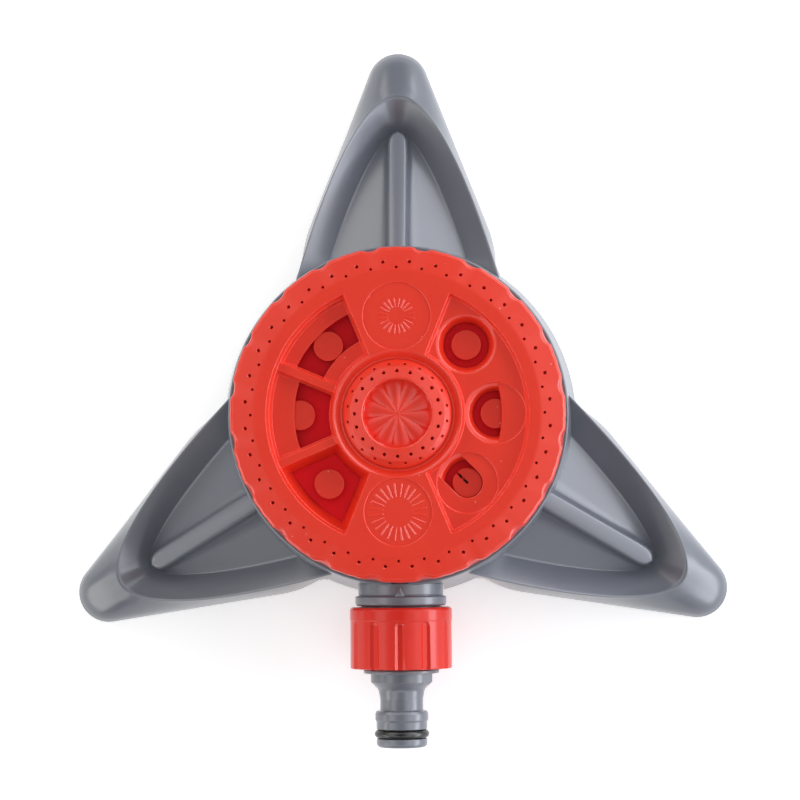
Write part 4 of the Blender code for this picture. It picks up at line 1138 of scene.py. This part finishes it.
def makeTurned(name, outline, material, node, body="tail", place=hosePlace, steps=120, loop=True, at=(0, 0)):
    thing = makeObject(name, shifted(revolved(name, outline, 5, steps, loop), *at))
    return finishPiece(thing, place, material, body, [node])


makeTail()
ringMiddle = sum(tail["ring"]) / 2
makeTurned("tailORing", arc(tail["ringWire"], 0, 360, 24, (tail["ringRadius"], ringMiddle))[:-1],
           blackRubber, "tail_o_ring")
makeTurned("swivelSleeve", ((8.9, 75.1, 0.2), (12.0, 75.1, 0.3), (12.0, 77.3, 0.3), (10.3, 77.3, 0.3),
                            (10.3, 82.6, 0.3), (8.9, 82.6, 0.2)), greyPlastic, "swivel_sleeve")
makeTurned("inletWasher", ((7.4, 72.8, 0.25), (11.8, 72.8, 0.25), (11.8, 74.8, 0.25), (7.4, 74.8, 0.25)),
           blackRubber, "inlet_washer")


# Inside: screws, washer, seal and click plunger

valveScrew = {"low": 21.1, "headRadius": 2.9, "headTop": 22.9, "shank": 1.4, "tip": 30.4}
retainingScrew = {"low": 13.9, "headRadius": 3.6, "headTop": 15.9, "shank": 1.9, "tip": 28.0}
screwThread = {"pitch": 1.0, "wire": 0.16, "sides": 5, "steps": 32}


def makeScrew(name, place, screw, body, node):
    # Pan head downwards, with a cross recess, and a helical thread on the shank
    low, headRadius, headTop, shank, tip = screw.values()
    thing = makeObject(name, revolved(name, (
        (0, low + 0.35), (headRadius - 0.9, low, 0.5), (headRadius, low + 0.75, 0.4),
        (headRadius, headTop, 0.15), (shank, headTop, 0.15), (shank, tip - 1.2, 0.2), (0.35, tip, 0.2),
        (0, tip)), 4, 48, False))
    combine(thing, [turned(bar(f"arm{turn}", [(low + z, -headRadius * long, headRadius * long, 0.3)
                                              for z, long in ((-0.5, 0.55), (1.1, 0.25))]), turn)
                    for turn in (0, 90)])
    pitch = screwThread["pitch"]
    thread = helix(name + "Thread", (tip - headTop - 2.1) / pitch, pitch, shank - 0.03, screwThread["wire"],
                   screwThread["sides"], screwThread["steps"], zincSteel)
    combine(thing, [shifted(thread, z=headTop + 0.5)], "UNION")
    shifted(thing.data, *place)
    return finishPiece(thing, dialPlace, zincSteel, body, [node])


for i, ear in enumerate(ears):
    makeScrew(f"valveBodyScrew{i + 1}", ear, valveScrew, "base", f"valve_body_screw_{i + 1}")
makeScrew("retainingScrew", (0, 0), retainingScrew, "dial", "retaining_screw")
makeTurned("retainingWasher", ((7.4, 17.2, 0.2), (7.4, 16.2, 0.2), (2.2, 16.2, 0.15), (2.2, 17.2, 0.15)),
           zincSteel, "retaining_washer", "dial", dialPlace)
makeTurned("portSeal", ((5.5, 34.2, 0.25), (6.2, 33.7, 0.2), (6.2, 25.6, 0.3), (5.7, 25.0, 0.2),
                        (3.9, 25.0, 0.3), (3.9, 34.2, 0.3)),
           blackRubber, "port_seal", "port_seal", dialPlace, at=(0, -station))
makeTurned("clickPlunger", ((0, 34.2), (1.3, 33.9, 0.8), (1.8, 32.4, 0.6), (1.8, 32.0, 0.2),
                            (2.3, 31.4, 0.2), (2.3, 25.5, 0.3), (0, 25.5)),
           paintedShadeRed, "detent_plunger", "click_plunger", dialPlace, 64, False, plungerAt)

# The two springs stay as the frame has them and only get their steel
for node in ("port_seal_spring", "detent_spring"):
    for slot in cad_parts[node].material_slots:
        slot.material = zincSteel

bpy.context.view_layer.update()
